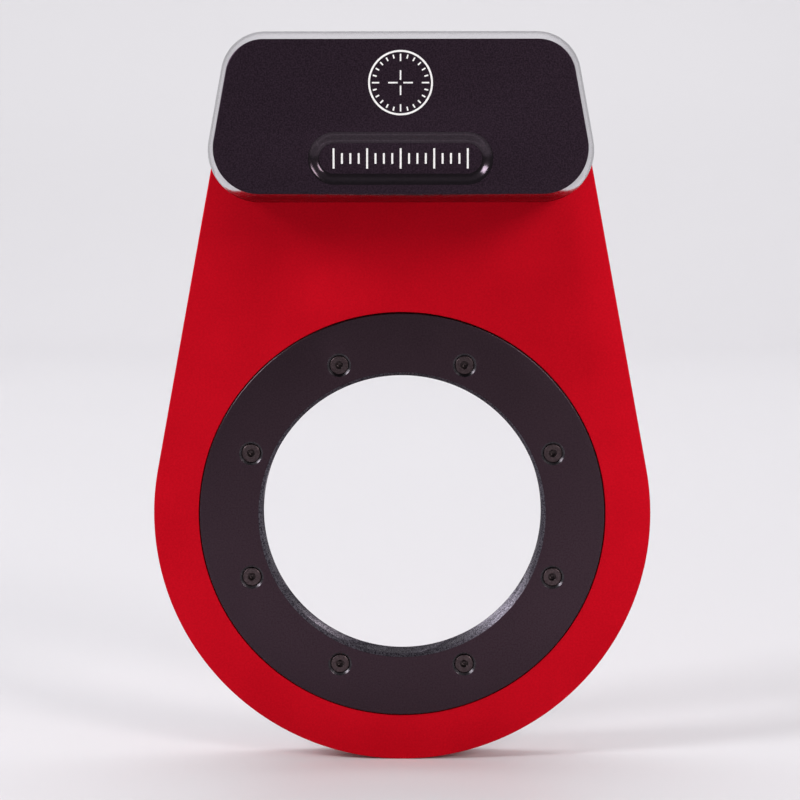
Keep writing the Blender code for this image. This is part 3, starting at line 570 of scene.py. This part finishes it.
# The chamfer's material, with painted shade along its bottom run.
CHAMFER_CUT_WITH_PAINTED_SHADE = cut_edge("chamfer_cut_with_painted_shade")
SCREW_BLACK = turned_metal("screw_black", (0.048, 0.033, 0.037), (0.074, 0.054, 0.058), 0.38, 0.15)
INK = plain("white_ink", (0.80, 0.79, 0.78), (0.88, 0.87, 0.86), 0.6, 0.0, 2000.0, 0.05)
STEEL = plain("bearing_steel", (0.50, 0.51, 0.53), (0.60, 0.61, 0.63), 0.22, 1.0, 700.0, 0.05)
GEAR_DARK = plain("gear_aluminium", (0.045, 0.042, 0.045), (0.070, 0.065, 0.070), 0.42, 1.0, 700.0, 0.1)
BRASS = plain("brass", (0.68, 0.48, 0.18), (0.78, 0.58, 0.26), 0.32, 1.0, 600.0, 0.08)
ZINC = plain("zinc_plate", (0.55, 0.56, 0.58), (0.68, 0.69, 0.70), 0.32, 1.0, 260.0, 0.06)
ACETAL = plain("acetal", (0.76, 0.75, 0.71), (0.84, 0.83, 0.79), 0.45, 0.0, 800.0, 0.08)
POLYMER = plain("cage_polymer", (0.36, 0.22, 0.10), (0.46, 0.30, 0.16), 0.55, 0.0, 900.0, 0.15)
BOARD = plain("circuit_board", (0.012, 0.12, 0.05), (0.025, 0.19, 0.08), 0.35, 0.0, 500.0, 0.1)
CHIP = plain("chip_black", (0.014, 0.014, 0.015), (0.03, 0.03, 0.032), 0.5, 0.0, 1500.0, 0.2)
CAN = plain("capacitor_can", (0.62, 0.62, 0.64), (0.72, 0.72, 0.74), 0.3, 1.0, 500.0, 0.05)
NYLON = plain("connector_nylon", (0.74, 0.73, 0.68), (0.84, 0.83, 0.79), 0.5, 0.0, 900.0, 0.1)
JACKET = plain("cable_jacket", (0.16, 0.16, 0.17), (0.24, 0.24, 0.26), 0.6, 0.0, 1200.0, 0.15)
GOLD = plain("contacts", (0.80, 0.58, 0.22), (0.88, 0.66, 0.30), 0.25, 1.0, 900.0, 0.03)


def dress(piece, materials, body, slot, *nodes):
    """Gives a finished piece its materials, smooth shading and body. The slot is not used."""
    if not piece.data.materials:
        for made in materials:
            piece.data.materials.append(made)
    piece.data.shade_smooth()
    piece.data.set_sharp_from_angle(angle=math.radians(28))
    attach(piece, body)
    if nodes:
        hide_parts(*nodes)
    return piece


# ---------------------------------------------------------------- plate and rear cover


def rounded_plate(name, rounded_end, square_end):
    """The pear-shaped outline between two Y planes, with its rim rounded at the first."""
    size = EDGE_ROUND
    towards = math.copysign(1.0, square_end - rounded_end)
    levels = []
    for i in range(EDGE_STEPS + 1):
        angle = math.pi / 2 * i / EDGE_STEPS
        inset = size * (1 - math.sin(angle))
        levels.append((body_outline(inset), rounded_end + towards * size * (1 - math.cos(angle))))
    levels.append((body_outline(), square_end))
    return lofted(name, levels)


def ring_opening():
    """Cutter for the opening that the camera ring turns in, with a broken edge."""
    radius = RING_HIGH.z + RING_GAP
    section = [
        (0.0, THROUGH_FRONT),
        (radius + OPENING_CHAMFER, THROUGH_FRONT),
        (radius + OPENING_CHAMFER, PLATE_FRONT),
        (radius, PLATE_FRONT + OPENING_CHAMFER),
        (radius, THROUGH_BACK),
        (0.0, THROUGH_BACK),
    ]
    return turned("opening", section)


def make_main_body():
    back = COVER_FRONT - SEAM
    floor = PLATE_FRONT + FRONT_WALL
    past = back + OVERCUT
    body = rounded_plate("plate_front", PLATE_FRONT, back)
    corners = (UPPER_POCKET_CORNER, UPPER_POCKET_CORNER)
    upper = tapered_outline(UPPER_POCKET_BOTTOM, UPPER_POCKET_TOP, UPPER_POCKET_INSET, *corners)
    cut(body, [rod((0.0, 0.0), floor, past, GEAR_POCKET, FINE)])
    cut(body, [prism(upper, floor, past)])
    rear_screws = [middle_of(name) for name in nodes_named("rear_cover_screw")]
    posts = [middle_of(name) for name in nodes_named("board_screw")]
    post_top = BOARD_BACK + GAP
    bosses = [rod((x, z), BOSS_ROOT, back, BOSS_RADIUS) for x, z in rear_screws if z > 0]
    bosses += [rod(centre, post_top, BOSS_ROOT, POST_RADIUS) for centre in posts]
    join(body, bosses)
    openings = [ring_opening()]
    shaft = middle_of("motor_shaft")
    openings.append(rod(shaft, THROUGH_FRONT, THROUGH_BACK, MOTOR_BOSS_HOLE))
    through = nodes_named("cover_screw") + nodes_named("motor_screw")
    openings += [rod(middle_of(name), THROUGH_FRONT, THROUGH_BACK) for name in through]
    openings += [rod(centre, TAPPED_HOLE_START, past) for centre in rear_screws]
    openings += [rod(centre, post_top - OVERCUT, POST_HOLE_END) for centre in posts]
    cut(body, openings)
    dress(body, [RED], "housing", "red_anodised", "main_body")


def countersink(centre, face, into, depth):
    """Cutter for a countersunk hole with a broken rim. Into is the sense of Y into the solid."""
    above = face - into * OVERLAP
    broken, step = COUNTERSINK_BREAK
    rim = COUNTERSINK_RIM
    section = [
        (0.0, above),
        (rim, above),
        (rim, face),
        (rim - broken, face + into * step),
        (SCREW_HOLE, face + into * (rim - broken - SCREW_HOLE + step)),
        (SCREW_HOLE, face + into * depth),
        (0.0, face + into * depth),
    ]
    return turned("countersink", section, MEDIUM, centre)


def make_rear_cover():
    back = COVER_HIGH.y
    seat = COVER_LOW.y
    cover = rounded_plate("plate_rear", back, COVER_FRONT)
    idler = middle_of("idler_shaft")
    ring = rod((0.0, 0.0), seat, COVER_FRONT + OVERLAP, GEAR_POCKET - GAP, FINE)
    boss = rod(idler, seat, COVER_FRONT + OVERLAP, IDLER_BOSS_RADIUS)
    join(cover, [ring, boss])
    recess = FLANGE_HIGH.y - FLANGE_THICKNESS - SEAM
    past = back + OVERCUT
    cut(cover, [rod((0.0, 0.0), seat - OVERCUT, COVER_FRONT, BEARING_SEAT, FINE)])
    cut(cover, [rod((0.0, 0.0), COVER_FRONT - OVERCUT, past, BEARING_SHOULDER, FINE)])
    cut(cover, [rod((0.0, 0.0), recess, past, FLANGE_HIGH.z + FLANGE_GAP, FINE)])
    holes = [rod(idler, seat - IDLER_HOLE_START, COVER_FRONT - IDLER_HOLE_SKIN, IDLER_PIN_HOLE)]
    flange = [middle_of(name) for name in nodes_named("flange_screw")]
    holes += [rod(centre, seat + GAP, recess + OVERCUT) for centre in flange]
    screws = [middle_of(name) for name in nodes_named("rear_cover_screw")]
    holes += [countersink(centre, back, -1.0, REAR_SCREW_DEPTH) for centre in screws]
    cut(cover, holes)
    dress(cover, [RED], "housing", "red_anodised", "rear_cover")


# ---------------------------------------------------------------- threaded ring and flange


def thread_profile(turns):
    """Depth of a thread with flat crests and roots, from 0 to 1, after a number of turns."""
    slope, root = 1.45, 0.2
    phase = turns % 1.0
    return min(1.0, max(0.0, abs(2.0 * phase - 1.0) * slope - root))


def threaded_wall(shape, bore, first, last):
    """Adds the bore wall between two Y planes, with a helical thread, and returns its end loops."""
    rows = round(abs(last - first) / THREAD_PITCH * THREAD_ROWS)
    loops = []
    for row in range(rows + 1):
        y = first + (last - first) * row / rows
        ends = min(abs(y - first), abs(last - y))
        depth = THREAD_DEPTH * min(1.0, ends / THREAD_RUN_OUT)
        loop = []
        for i in range(FINE):
            turn = i / FINE
            radius = bore + depth * thread_profile(y / THREAD_PITCH - turn)
            angle = 2 * math.pi * turn
            loop.append(shape.verts.new((radius * math.cos(angle), y, radius * math.sin(angle))))
        loops.append(loop)
    for one, other in zip(loops, loops[1:]):
        bridge(shape, one, other, 1)
    return loops[0], loops[-1]


def threaded_ring(name, outside, bore, thread_start, thread_end):
    """A turned ring whose bore is threaded. Outside is the rest of its section, from the end of the
    thread round to its start. The bore and its chamfer take the second material."""
    shape = bmesh.new()
    first, last = threaded_wall(shape, bore, thread_start, thread_end)
    previous = last
    for radius, y in outside:
        loop = add_loop(shape, circle(radius, FINE), y)
        bridge(shape, previous, loop)
        previous = loop
    bridge(shape, previous, first, 1)
    return to_object(shape, name)


def make_front_ring():
    face = RING_LOW.y
    rim = rounded_rim(RING_HIGH.z, face, 1.0)
    outside = [
        (SPIGOT_RADIUS, RING_HIGH.y),
        (SPIGOT_RADIUS, face + RING_THICKNESS),
        (RING_HIGH.z, face + RING_THICKNESS),
    ]
    outside += reversed(rim)
    mouth = BORE_RADIUS + BORE_CHAMFER
    outside += [(mouth + BORE_EDGE, face), (mouth, face + BORE_EDGE)]
    ring = threaded_ring("camera_ring", outside, BORE_RADIUS, face + BORE_CHAMFER, RING_HIGH.y)
    for made in (RING_BLACK, BORE_WALL, SINK_BLACK):
        ring.data.materials.append(made)
    screws = [Vector(middle_of(node)) for node in nodes_named("ring_screw")]
    cut(ring, [countersink(centre, face, 1.0, RING_SCREW_DEPTH) for centre in screws])

    def is_sink(centre, normal):
        place = Vector((centre.x, centre.z))
        near = min((place - screw).length for screw in screws) < COUNTERSINK_RADIUS
        on_rim = place.length > RING_HIGH.z - 0.3 * MM
        leaning = 0.3 < abs(normal.y) < 0.95
        return (near or on_rim) and leaning

    repaint(ring, 2, is_sink)
    dress(ring, [], "rotor", "black_anodised", "front_ring")


def make_rear_flange():
    face = FLANGE_HIGH.y
    front = FLANGE_LOW.y
    rim = rounded_rim(FLANGE_HIGH.z, face, -1.0)
    step = face - FLANGE_THICKNESS
    outside = [(FLANGE_SPIGOT_RADIUS, front), (FLANGE_SPIGOT_RADIUS, step), (FLANGE_HIGH.z, step)]
    outside += reversed(rim)
    outside += [(FLANGE_BORE_RADIUS + BORE_CHAMFER, face)]
    flange = threaded_ring("telescope_flange", outside, FLANGE_BORE_RADIUS, face - BORE_CHAMFER, front)
    for made in (RING_BLACK, BORE_WALL):
        flange.data.materials.append(made)
    screws = [middle_of(node) for node in nodes_named("flange_screw")]
    cut(flange, [countersink(centre, face, -1.0, FLANGE_SCREW_DEPTH) for centre in screws])
    dress(flange, [], "housing", "black_anodised", "rear_flange")


# ---------------------------------------------------------------- screws


def hexagon(centre, turn):
    """The outline of the screws' socket."""
    angles = [turn + math.pi / 3 * i for i in range(6)]
    return [(centre[0] + HEX_CORNER * math.cos(a), centre[1] + HEX_CORNER * math.sin(a)) for a in angles]


def socketed(name, section, top, into, centre):
    """A turned screw with a hexagonal socket whose mouth is chamfered."""
    screw = turned(name, section, SCREW_SIDES, centre)
    turn = math.atan2(centre[1], centre[0])
    above = top - into * 0.2 * MM
    bottom = top + into * HEX_DEPTH
    corner = HEX_CORNER + 0.03 * MM
    mouth = [(0.0, above), (corner + 0.2 * MM, above), (0.0, top + into * corner)]
    drill = [
        (0.0, above),
        (HEX_FLATS / 2, above),
        (HEX_FLATS / 2, bottom - into * 0.1 * MM),
        (0.0, bottom + into * HEX_POINT),
    ]
    cut(screw, [prism(hexagon(centre, turn), above, bottom)])
    cut(screw, [turned("drill", drill, MEDIUM, centre)])
    return cut(screw, [turned("mouth", mouth, MEDIUM, centre)])


def flat_screw_section(top, tip, into):
    """Section of a countersunk screw, from its head's face to its tip."""
    edge = FLAT_HEAD_EDGE
    neck = FLAT_HEAD_RADIUS - SCREW_RADIUS
    return [
        (0.0, top),
        (FLAT_HEAD_RADIUS - edge, top),
        (FLAT_HEAD_RADIUS, top + into * edge * 0.6),
        (FLAT_HEAD_RADIUS - edge * 0.3, top + into * edge),
        (SCREW_RADIUS, top + into * neck),
        (SCREW_RADIUS, tip - into * SCREW_TIP),
        (SCREW_RADIUS - SCREW_TIP, tip),
        (0.0, tip),
    ]


def make_flat_screws(prefix, body, into):
    """Countersunk screws in place of the nodes with a prefix. Into is the sense of Y they point in."""
    for node in nodes_named(prefix):
        low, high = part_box(node)
        top, tip = (low.y, high.y) if into > 0 else (high.y, low.y)
        centre = middle_of(node)
        screw = socketed(f"{node}_fine", flat_screw_section(top, tip, into), top, into, centre)
        for made in (SCREW_BLACK, SOCKET_PAINTED_SHADE):
            screw.data.materials.append(made)

        # Faces inside the socket take the darker metal: painted shade in the recess.
        def in_socket_painted_shade(place, _):
            inside = (Vector((place.x, place.z)) - Vector(centre)).length < HEX_CORNER
            return inside and 0.05 * MM < (place.y - top) * into < HEX_DEPTH + 0.5 * MM

        repaint(screw, 1, in_socket_painted_shade)
        dress(screw, [], body, "black_screws", node)


# ---------------------------------------------------------------- cover


def shell_outline(side, bottom, top):
    """The cover's outline, moved inwards by its own amount at the sides, the bottom and the top."""
    corners = [max(radius - side, SHELL_CORNER_LEAST) for radius in SHELL_CORNERS]
    return tapered_outline(
        SHELL_LOW.z + bottom, SHELL_HIGH.z - top, SHELL_SIDE_INSET + side, *corners
    )


def face_with_hole(shape, outer, inner, y):
    """Adds the flat face between two outlines."""
    curve = bpy.data.curves.new("face", "CURVE")
    curve.dimensions = "2D"
    curve.fill_mode = "BOTH"
    for outline in (outer, inner):
        spline = curve.splines.new("POLY")
        spline.points.add(len(outline) - 1)
        for point, (x, z) in zip(spline.points, outline):
            point.co = (x, z, 0.0, 1.0)
        spline.use_cyclic_u = True
    flat = bpy.data.objects.new("face", curve)
    bpy.context.scene.collection.objects.link(flat)
    bpy.context.view_layer.update()
    graph = bpy.context.evaluated_depsgraph_get()
    mesh = bpy.data.meshes.new_from_object(flat.evaluated_get(graph))
    mesh.transform(Matrix.Translation((0.0, y, 0.0)) @ Matrix.Rotation(math.pi / 2, 4, "X"))
    shape.from_mesh(mesh)
    bpy.data.objects.remove(flat, do_unlink=True)


def badge_levels(face):
    """Loops of the soft-edged recess, from its rim down to its floor."""
    levels = []
    for i in range(BADGE_STEPS + 1):
        share = i / BADGE_STEPS
        eased = share * share * (3 - 2 * share)
        inset = BADGE_SLOPE * share
        outline = stadium(
            BADGE_HALF_LENGTH - inset, BADGE_HALF_HEIGHT - inset, (0.0, BADGE_HEIGHT)
        )
        levels.append((outline, face + BADGE_DEPTH * eased))
    return levels


def shell_body(face, ceiling, back):
    """The hollow cover with its chamfer and recess. A level's number is the material of the band
    between it and the next one."""
    edge = CHAMFER_LINE
    wall = SHELL_WALL
    outer = shell_outline(0.0, 0.0, 0.0)
    line = shell_outline(CHAMFER_SIDE - edge, CHAMFER_BOTTOM - CHAMFER_LINE_BOTTOM, CHAMFER_TOP - edge)
    front = shell_outline(CHAMFER_SIDE, CHAMFER_BOTTOM, CHAMFER_TOP)
    hollow = shell_outline(wall, wall, wall)
    levels = [
        (hollow, ceiling, 0),
        (hollow, back, 0),
        (outer, back, 0),
        (outer, face + CHAMFER_DEPTH, 1),
        (line, face + edge * 0.55, 0),
        (front, face, 0),
    ]
    shape = bmesh.new()
    loops = [add_loop(shape, outline, y) for outline, y, _ in levels]
    for i in range(len(loops) - 1):
        bridge(shape, loops[i], loops[i + 1], levels[i][2])
    shape.faces.new(loops[0])
    badge = badge_levels(face)
    face_with_hole(shape, front, badge[0][0], face)
    loops = [add_loop(shape, outline, y) for outline, y in badge]
    for one, other in zip(loops, loops[1:]):
        bridge(shape, one, other, 2)
    shape.faces.new(loops[-1])
    return to_object(shape, "cover")


def make_cover_shell():
    face = SHELL_LOW.y + PRINT_HEIGHT
    back = PLATE_FRONT - SEAM
    ceiling = face + SHELL_WALL
    shell = shell_body(face, ceiling, back)
    for made in (SHELL_BLACK, CHAMFER_CUT_WITH_PAINTED_SHADE, RECESS_BLACK):
        shell.data.materials.append(made)
    screws = [middle_of(node) for node in nodes_named("cover_screw")]
    join(shell, [rod(centre, ceiling - OVERLAP, back, SHELL_BOSS_RADIUS) for centre in screws])
    holes = [rod(centre, SHELL_HOLE_FRONT, PLATE_FRONT + OVERCUT) for centre in screws]
    cut(shell, holes + [usb_slot_cutter()])
    dress(shell, [], "housing", "cover_black", "cover_shell")


def upright_loop(shape, inset, z):
    """A level loop of the USB socket's stadium shape, moved inwards by inset."""
    outline = stadium(USB_HALF[0] - inset, USB_HALF[1] - inset, USB_CENTRE)
    return [shape.verts.new((x, y, z)) for x, y in outline]


def usb_slot_cutter():
    """A stadium-shaped hole through the cover's top wall."""
    shape = bmesh.new()
    low = upright_loop(shape, -GAP, SHELL_HIGH.z - 2 * SHELL_WALL)
    high = upright_loop(shape, -GAP, SHELL_HIGH.z + OVERCUT)
    bridge(shape, low, high)
    shape.faces.new(low)
    shape.faces.new(high)
    return to_object(shape, "slot")


def make_usb_socket():
    """A rounded metal shell, open at the top."""
    outer_edge, inner_edge = 0.08 * MM, 0.06 * MM
    levels = [
        (0.0, USB_LOW.z),
        (0.0, USB_HIGH.z - outer_edge),
        (outer_edge, USB_HIGH.z),
        (USB_WALL - inner_edge, USB_HIGH.z),
        (USB_WALL, USB_HIGH.z - inner_edge),
        (USB_WALL, USB_FLOOR),
    ]
    shape = bmesh.new()
    loops = [upright_loop(shape, inset, z) for inset, z in levels]
    for one, other in zip(loops, loops[1:]):
        bridge(shape, one, other)
    shape.faces.new(loops[0])
    shape.faces.new(loops[-1])
    dress(to_object(shape, "usb_shell"), [ZINC], "housing", "zinc_plate", "usb_socket")


def make_usb_tongue():
    """The socket's tongue, with a row of contacts on each side."""
    x, y = USB_CENTRE
    top = USB_HIGH.z - 0.9 * MM
    tongue = upright_box("usb_tongue", USB_CENTRE, TONGUE_HALF, USB_FLOOR + 0.02 * MM, top)
    dress(tongue, [CHIP], "housing", "chip_black")
    bottom, top = USB_FLOOR + 1.0 * MM, USB_HIGH.z - 1.3 * MM
    for row, side in (("a", -1.0), ("b", 1.0)):
        for i in range(CONTACTS_PER_SIDE):
            across = (i - (CONTACTS_PER_SIDE - 1) / 2) * CONTACT_STEP
            place = (x + across, y + side * (TONGUE_HALF[1] + 0.03 * MM))
            pad = upright_box(f"usb_contact_{row}{i + 1}", place, CONTACT_HALF, bottom, top)
            dress(pad, [GOLD], "housing", "brass")


def upright_box(name, centre, half, bottom, top):
    """A softly edged bar between two heights."""
    shape = bmesh.new()
    size = (2 * half[0], 2 * half[1], top - bottom)
    place = Matrix.Translation((centre[0], centre[1], (bottom + top) / 2))
    bmesh.ops.create_cube(shape, size=1.0, matrix=place @ Matrix.Diagonal((*size, 1.0)))
    bmesh.ops.bevel(shape, geom=shape.edges[:], offset=min(size) * 0.2, segments=2, affect="EDGES")
    return to_object(shape, name)


# ---------------------------------------------------------------- printed marks


def print_mark(name, outlines, y):
    """A thin printed figure of one or more outlines, standing just above the face."""
    flat = merged([prism(outline, y - PRINT_HEIGHT, y + PRINT_DEPTH) for outline in outlines])
    flat.name = name
    dress(flat, [INK], "housing", "connector_nylon")


def print_circle(name, radius, width, centre, y):
    """A thin printed circular line."""
    section = [
        (radius - width / 2, y - PRINT_HEIGHT),
        (radius + width / 2, y - PRINT_HEIGHT),
        (radius + width / 2, y + PRINT_DEPTH),
        (radius - width / 2, y + PRINT_DEPTH),
    ]
    dress(turned(name, section, 2 * MEDIUM, centre), [INK], "housing", "connector_nylon")


def spoke(centre, angle, start, end):
    """Outline of a short bar that points away from a centre."""
    along = Vector((math.cos(angle), math.sin(angle)))
    across = Vector((-along.y, along.x)) * TICK_WIDTH / 2
    middle = Vector(centre)
    near, far = middle + along * start, middle + along * end
    return [tuple(near - across), tuple(far - across), tuple(far + across), tuple(near + across)]


def make_marks():
    """A plain dial on the cover's face, and a short scale in the recess."""
    face = SHELL_LOW.y + PRINT_HEIGHT
    centre = (0.0, DIAL_HEIGHT)
    print_circle("dial_ring", DIAL_RADIUS, DIAL_LINE, centre, face)
    long_tick, short_tick = TICK_LENGTHS
    ticks = []
    for i in range(TICK_COUNT):
        length = long_tick if i % 6 == 0 else short_tick
        ticks.append(spoke(centre, 2 * math.pi * i / TICK_COUNT, TICK_END - length, TICK_END))
    print_mark("dial_ticks", ticks, face)
    cross = [spoke(centre, math.pi / 2 * i, *CROSS_ARM) for i in range(4)]
    print_mark("dial_cross", cross, face)
    long_bar, short_bar = BAR_HEIGHTS
    bars = []
    for i in range(-SCALE_SIDE_BARS, SCALE_SIDE_BARS + 1):
        height = long_bar if i % 4 == 0 else short_bar
        bars.append(rectangle((i * SCALE_STEP, BADGE_HEIGHT), DIAL_LINE, height))
    print_mark("scale_bars", bars, face + BADGE_DEPTH)


# ---------------------------------------------------------------- inner nodes that stay as they are


def paint_inner_nodes():
    """Gives the nodes that nothing replaces their materials."""
    looks = {
        "rotor_gear": GEAR_DARK,
        "bearing_inner_race": STEEL,
        "bearing_outer_race": STEEL,
        "bearing_ball_cage": POLYMER,
        "idler_gear": ACETAL,
        "idler_shaft": STEEL,
        "pinion": BRASS,
        "motor_shaft": STEEL,
        "motor_can": ZINC,
        "control_board": BOARD,
        "motor_driver_chip": CHIP,
        "microcontroller": CHIP,
        "capacitor": CAN,
        "motor_connector": NYLON,
        "motor_cable": JACKET,
    }
    for name in nodes_named("motor_screw") + nodes_named("board_screw"):
        looks[name] = ZINC
    for name in nodes_named("cover_screw"):
        looks[name] = SCREW_BLACK
    for name, look in looks.items():
        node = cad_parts[name]
        node.data.materials.clear()
        node.data.materials.append(look)


# ---------------------------------------------------------------- studio


def make_stage():
    """A pale paper floor that sweeps up into the backdrop."""
    half_width, near_end, bend_start, bend_radius, height = 3.0, -2.2, 1.1, 0.5, 3.0
    bend_steps = 24
    path = [(near_end, FLOOR_HEIGHT)]
    for i in range(bend_steps + 1):
        angle = math.pi / 2 * i / bend_steps
        y = bend_start + bend_radius * math.sin(angle)
        path.append((y, FLOOR_HEIGHT + bend_radius * (1 - math.cos(angle))))
    path.append((bend_start + bend_radius, FLOOR_HEIGHT + height))
    shape = bmesh.new()
    rows = [[shape.verts.new((x, y, z)) for x in (-half_width, half_width)] for y, z in path]
    for one, other in zip(rows, rows[1:]):
        shape.faces.new((one[0], one[1], other[1], other[0]))
    mesh = bpy.data.meshes.new("stage")
    shape.to_mesh(mesh)
    shape.free()
    mesh.shade_smooth()
    look = Graph("stage_paper")
    look.set(Roughness=0.42, Specular_IOR_Level=0.35)
    cloud = look.noise(1.6, 2.0)
    paper = look.tint(cloud, (0.665, 0.655, 0.675), (0.69, 0.68, 0.70))
    look.link(paper, look.shader.inputs["Base Color"])
    mesh.materials.append(look.material)
    stage = bpy.data.objects.new("stage", mesh)
    bpy.context.scene.collection.objects.link(stage)


def area_light(name, place, target, size, radiance, colour=(1.0, 1.0, 1.0)):
    """A rectangular lamp at a place, aimed at a target, that the camera doesn't see."""
    lamp = bpy.data.lights.new(name, "AREA")
    lamp.shape = "RECTANGLE"
    lamp.size, lamp.size_y = size
    lamp.energy = radiance * math.pi * size[0] * size[1]
    lamp.color = colour
    made = bpy.data.objects.new(name, lamp)
    bpy.context.scene.collection.objects.link(made)
    made.location = place
    made.visible_camera = False
    made.rotation_euler = (Vector(target) - Vector(place)).to_track_quat("-Z", "Y").to_euler()


def make_lights():
    """Two keys from the front, one over the backdrop, and a strip near the floor."""
    aim = (0.0, 0.0, 0.02)
    cool, warm = (0.98, 0.99, 1.0), (1.0, 0.95, 0.93)
    area_light("key_left", (-0.85, -0.48, 0.62), aim, (0.28, 0.34), 22.0, cool)
    area_light("key_right", (0.62, -0.80, 0.50), aim, (0.30, 0.36), 14.7, warm)
    area_light("ceiling", (0.0, 0.75, 1.45), (0.0, 1.50, 0.45), (2.4, 1.4), 1.75)
    area_light("floor_card", (0.0, -0.13, -0.040), (0.0, 0.0, -0.038), (0.26, 0.028), 0.8)


def make_world():
    """Soft light from all round, dimmer from the front than from above and behind."""
    world = bpy.data.worlds.new("studio")
    bpy.context.scene.world = world
    world.use_nodes = True
    tree = world.node_tree
    background = tree.nodes["Background"]
    background.inputs["Color"].default_value = (0.98, 0.97, 1.0, 1.0)
    towards = tree.nodes.new("ShaderNodeTexCoord")
    split = tree.nodes.new("ShaderNodeSeparateXYZ")
    tree.links.new(towards.outputs["Generated"], split.inputs["Vector"])
    strength = tree.nodes.new("ShaderNodeMapRange")
    strength.interpolation_type = "SMOOTHSTEP"
    strength.inputs["From Min"].default_value = -0.7
    strength.inputs["From Max"].default_value = 0.15
    strength.inputs["To Min"].default_value = 0.26
    strength.inputs["To Max"].default_value = 0.95
    tree.links.new(split.outputs["Y"], strength.inputs["Value"])
    tree.links.new(strength.outputs["Result"], background.inputs["Strength"])


def make_camera():
    """A long lens in front, above the bore, tilted down to the middle of the object."""
    lens = bpy.data.cameras.new("camera")
    lens.lens = 105.3
    lens.sensor_width = 36.0
    lens.clip_end = 20.0
    camera = bpy.data.objects.new("camera", lens)
    bpy.context.scene.collection.objects.link(camera)
    camera.location = (3.88 * MM, PLATE_FRONT - 441.4 * MM, 62.7 * MM)
    camera.rotation_euler = (math.radians(90.0 - 5.267), math.radians(0.05), math.radians(0.545))
    bpy.context.scene.camera = camera
    bpy.context.scene.view_settings.view_transform = "Standard"


make_stage()
make_lights()
make_world()
make_camera()
make_main_body()
make_rear_cover()
make_front_ring()
make_rear_flange()
make_flat_screws("ring_screw", "rotor", 1.0)
make_flat_screws("flange_screw", "housing", -1.0)
make_flat_screws("rear_cover_screw", "housing", -1.0)
make_cover_shell()
make_usb_socket()
make_usb_tongue()
make_marks()
paint_inner_nodes()
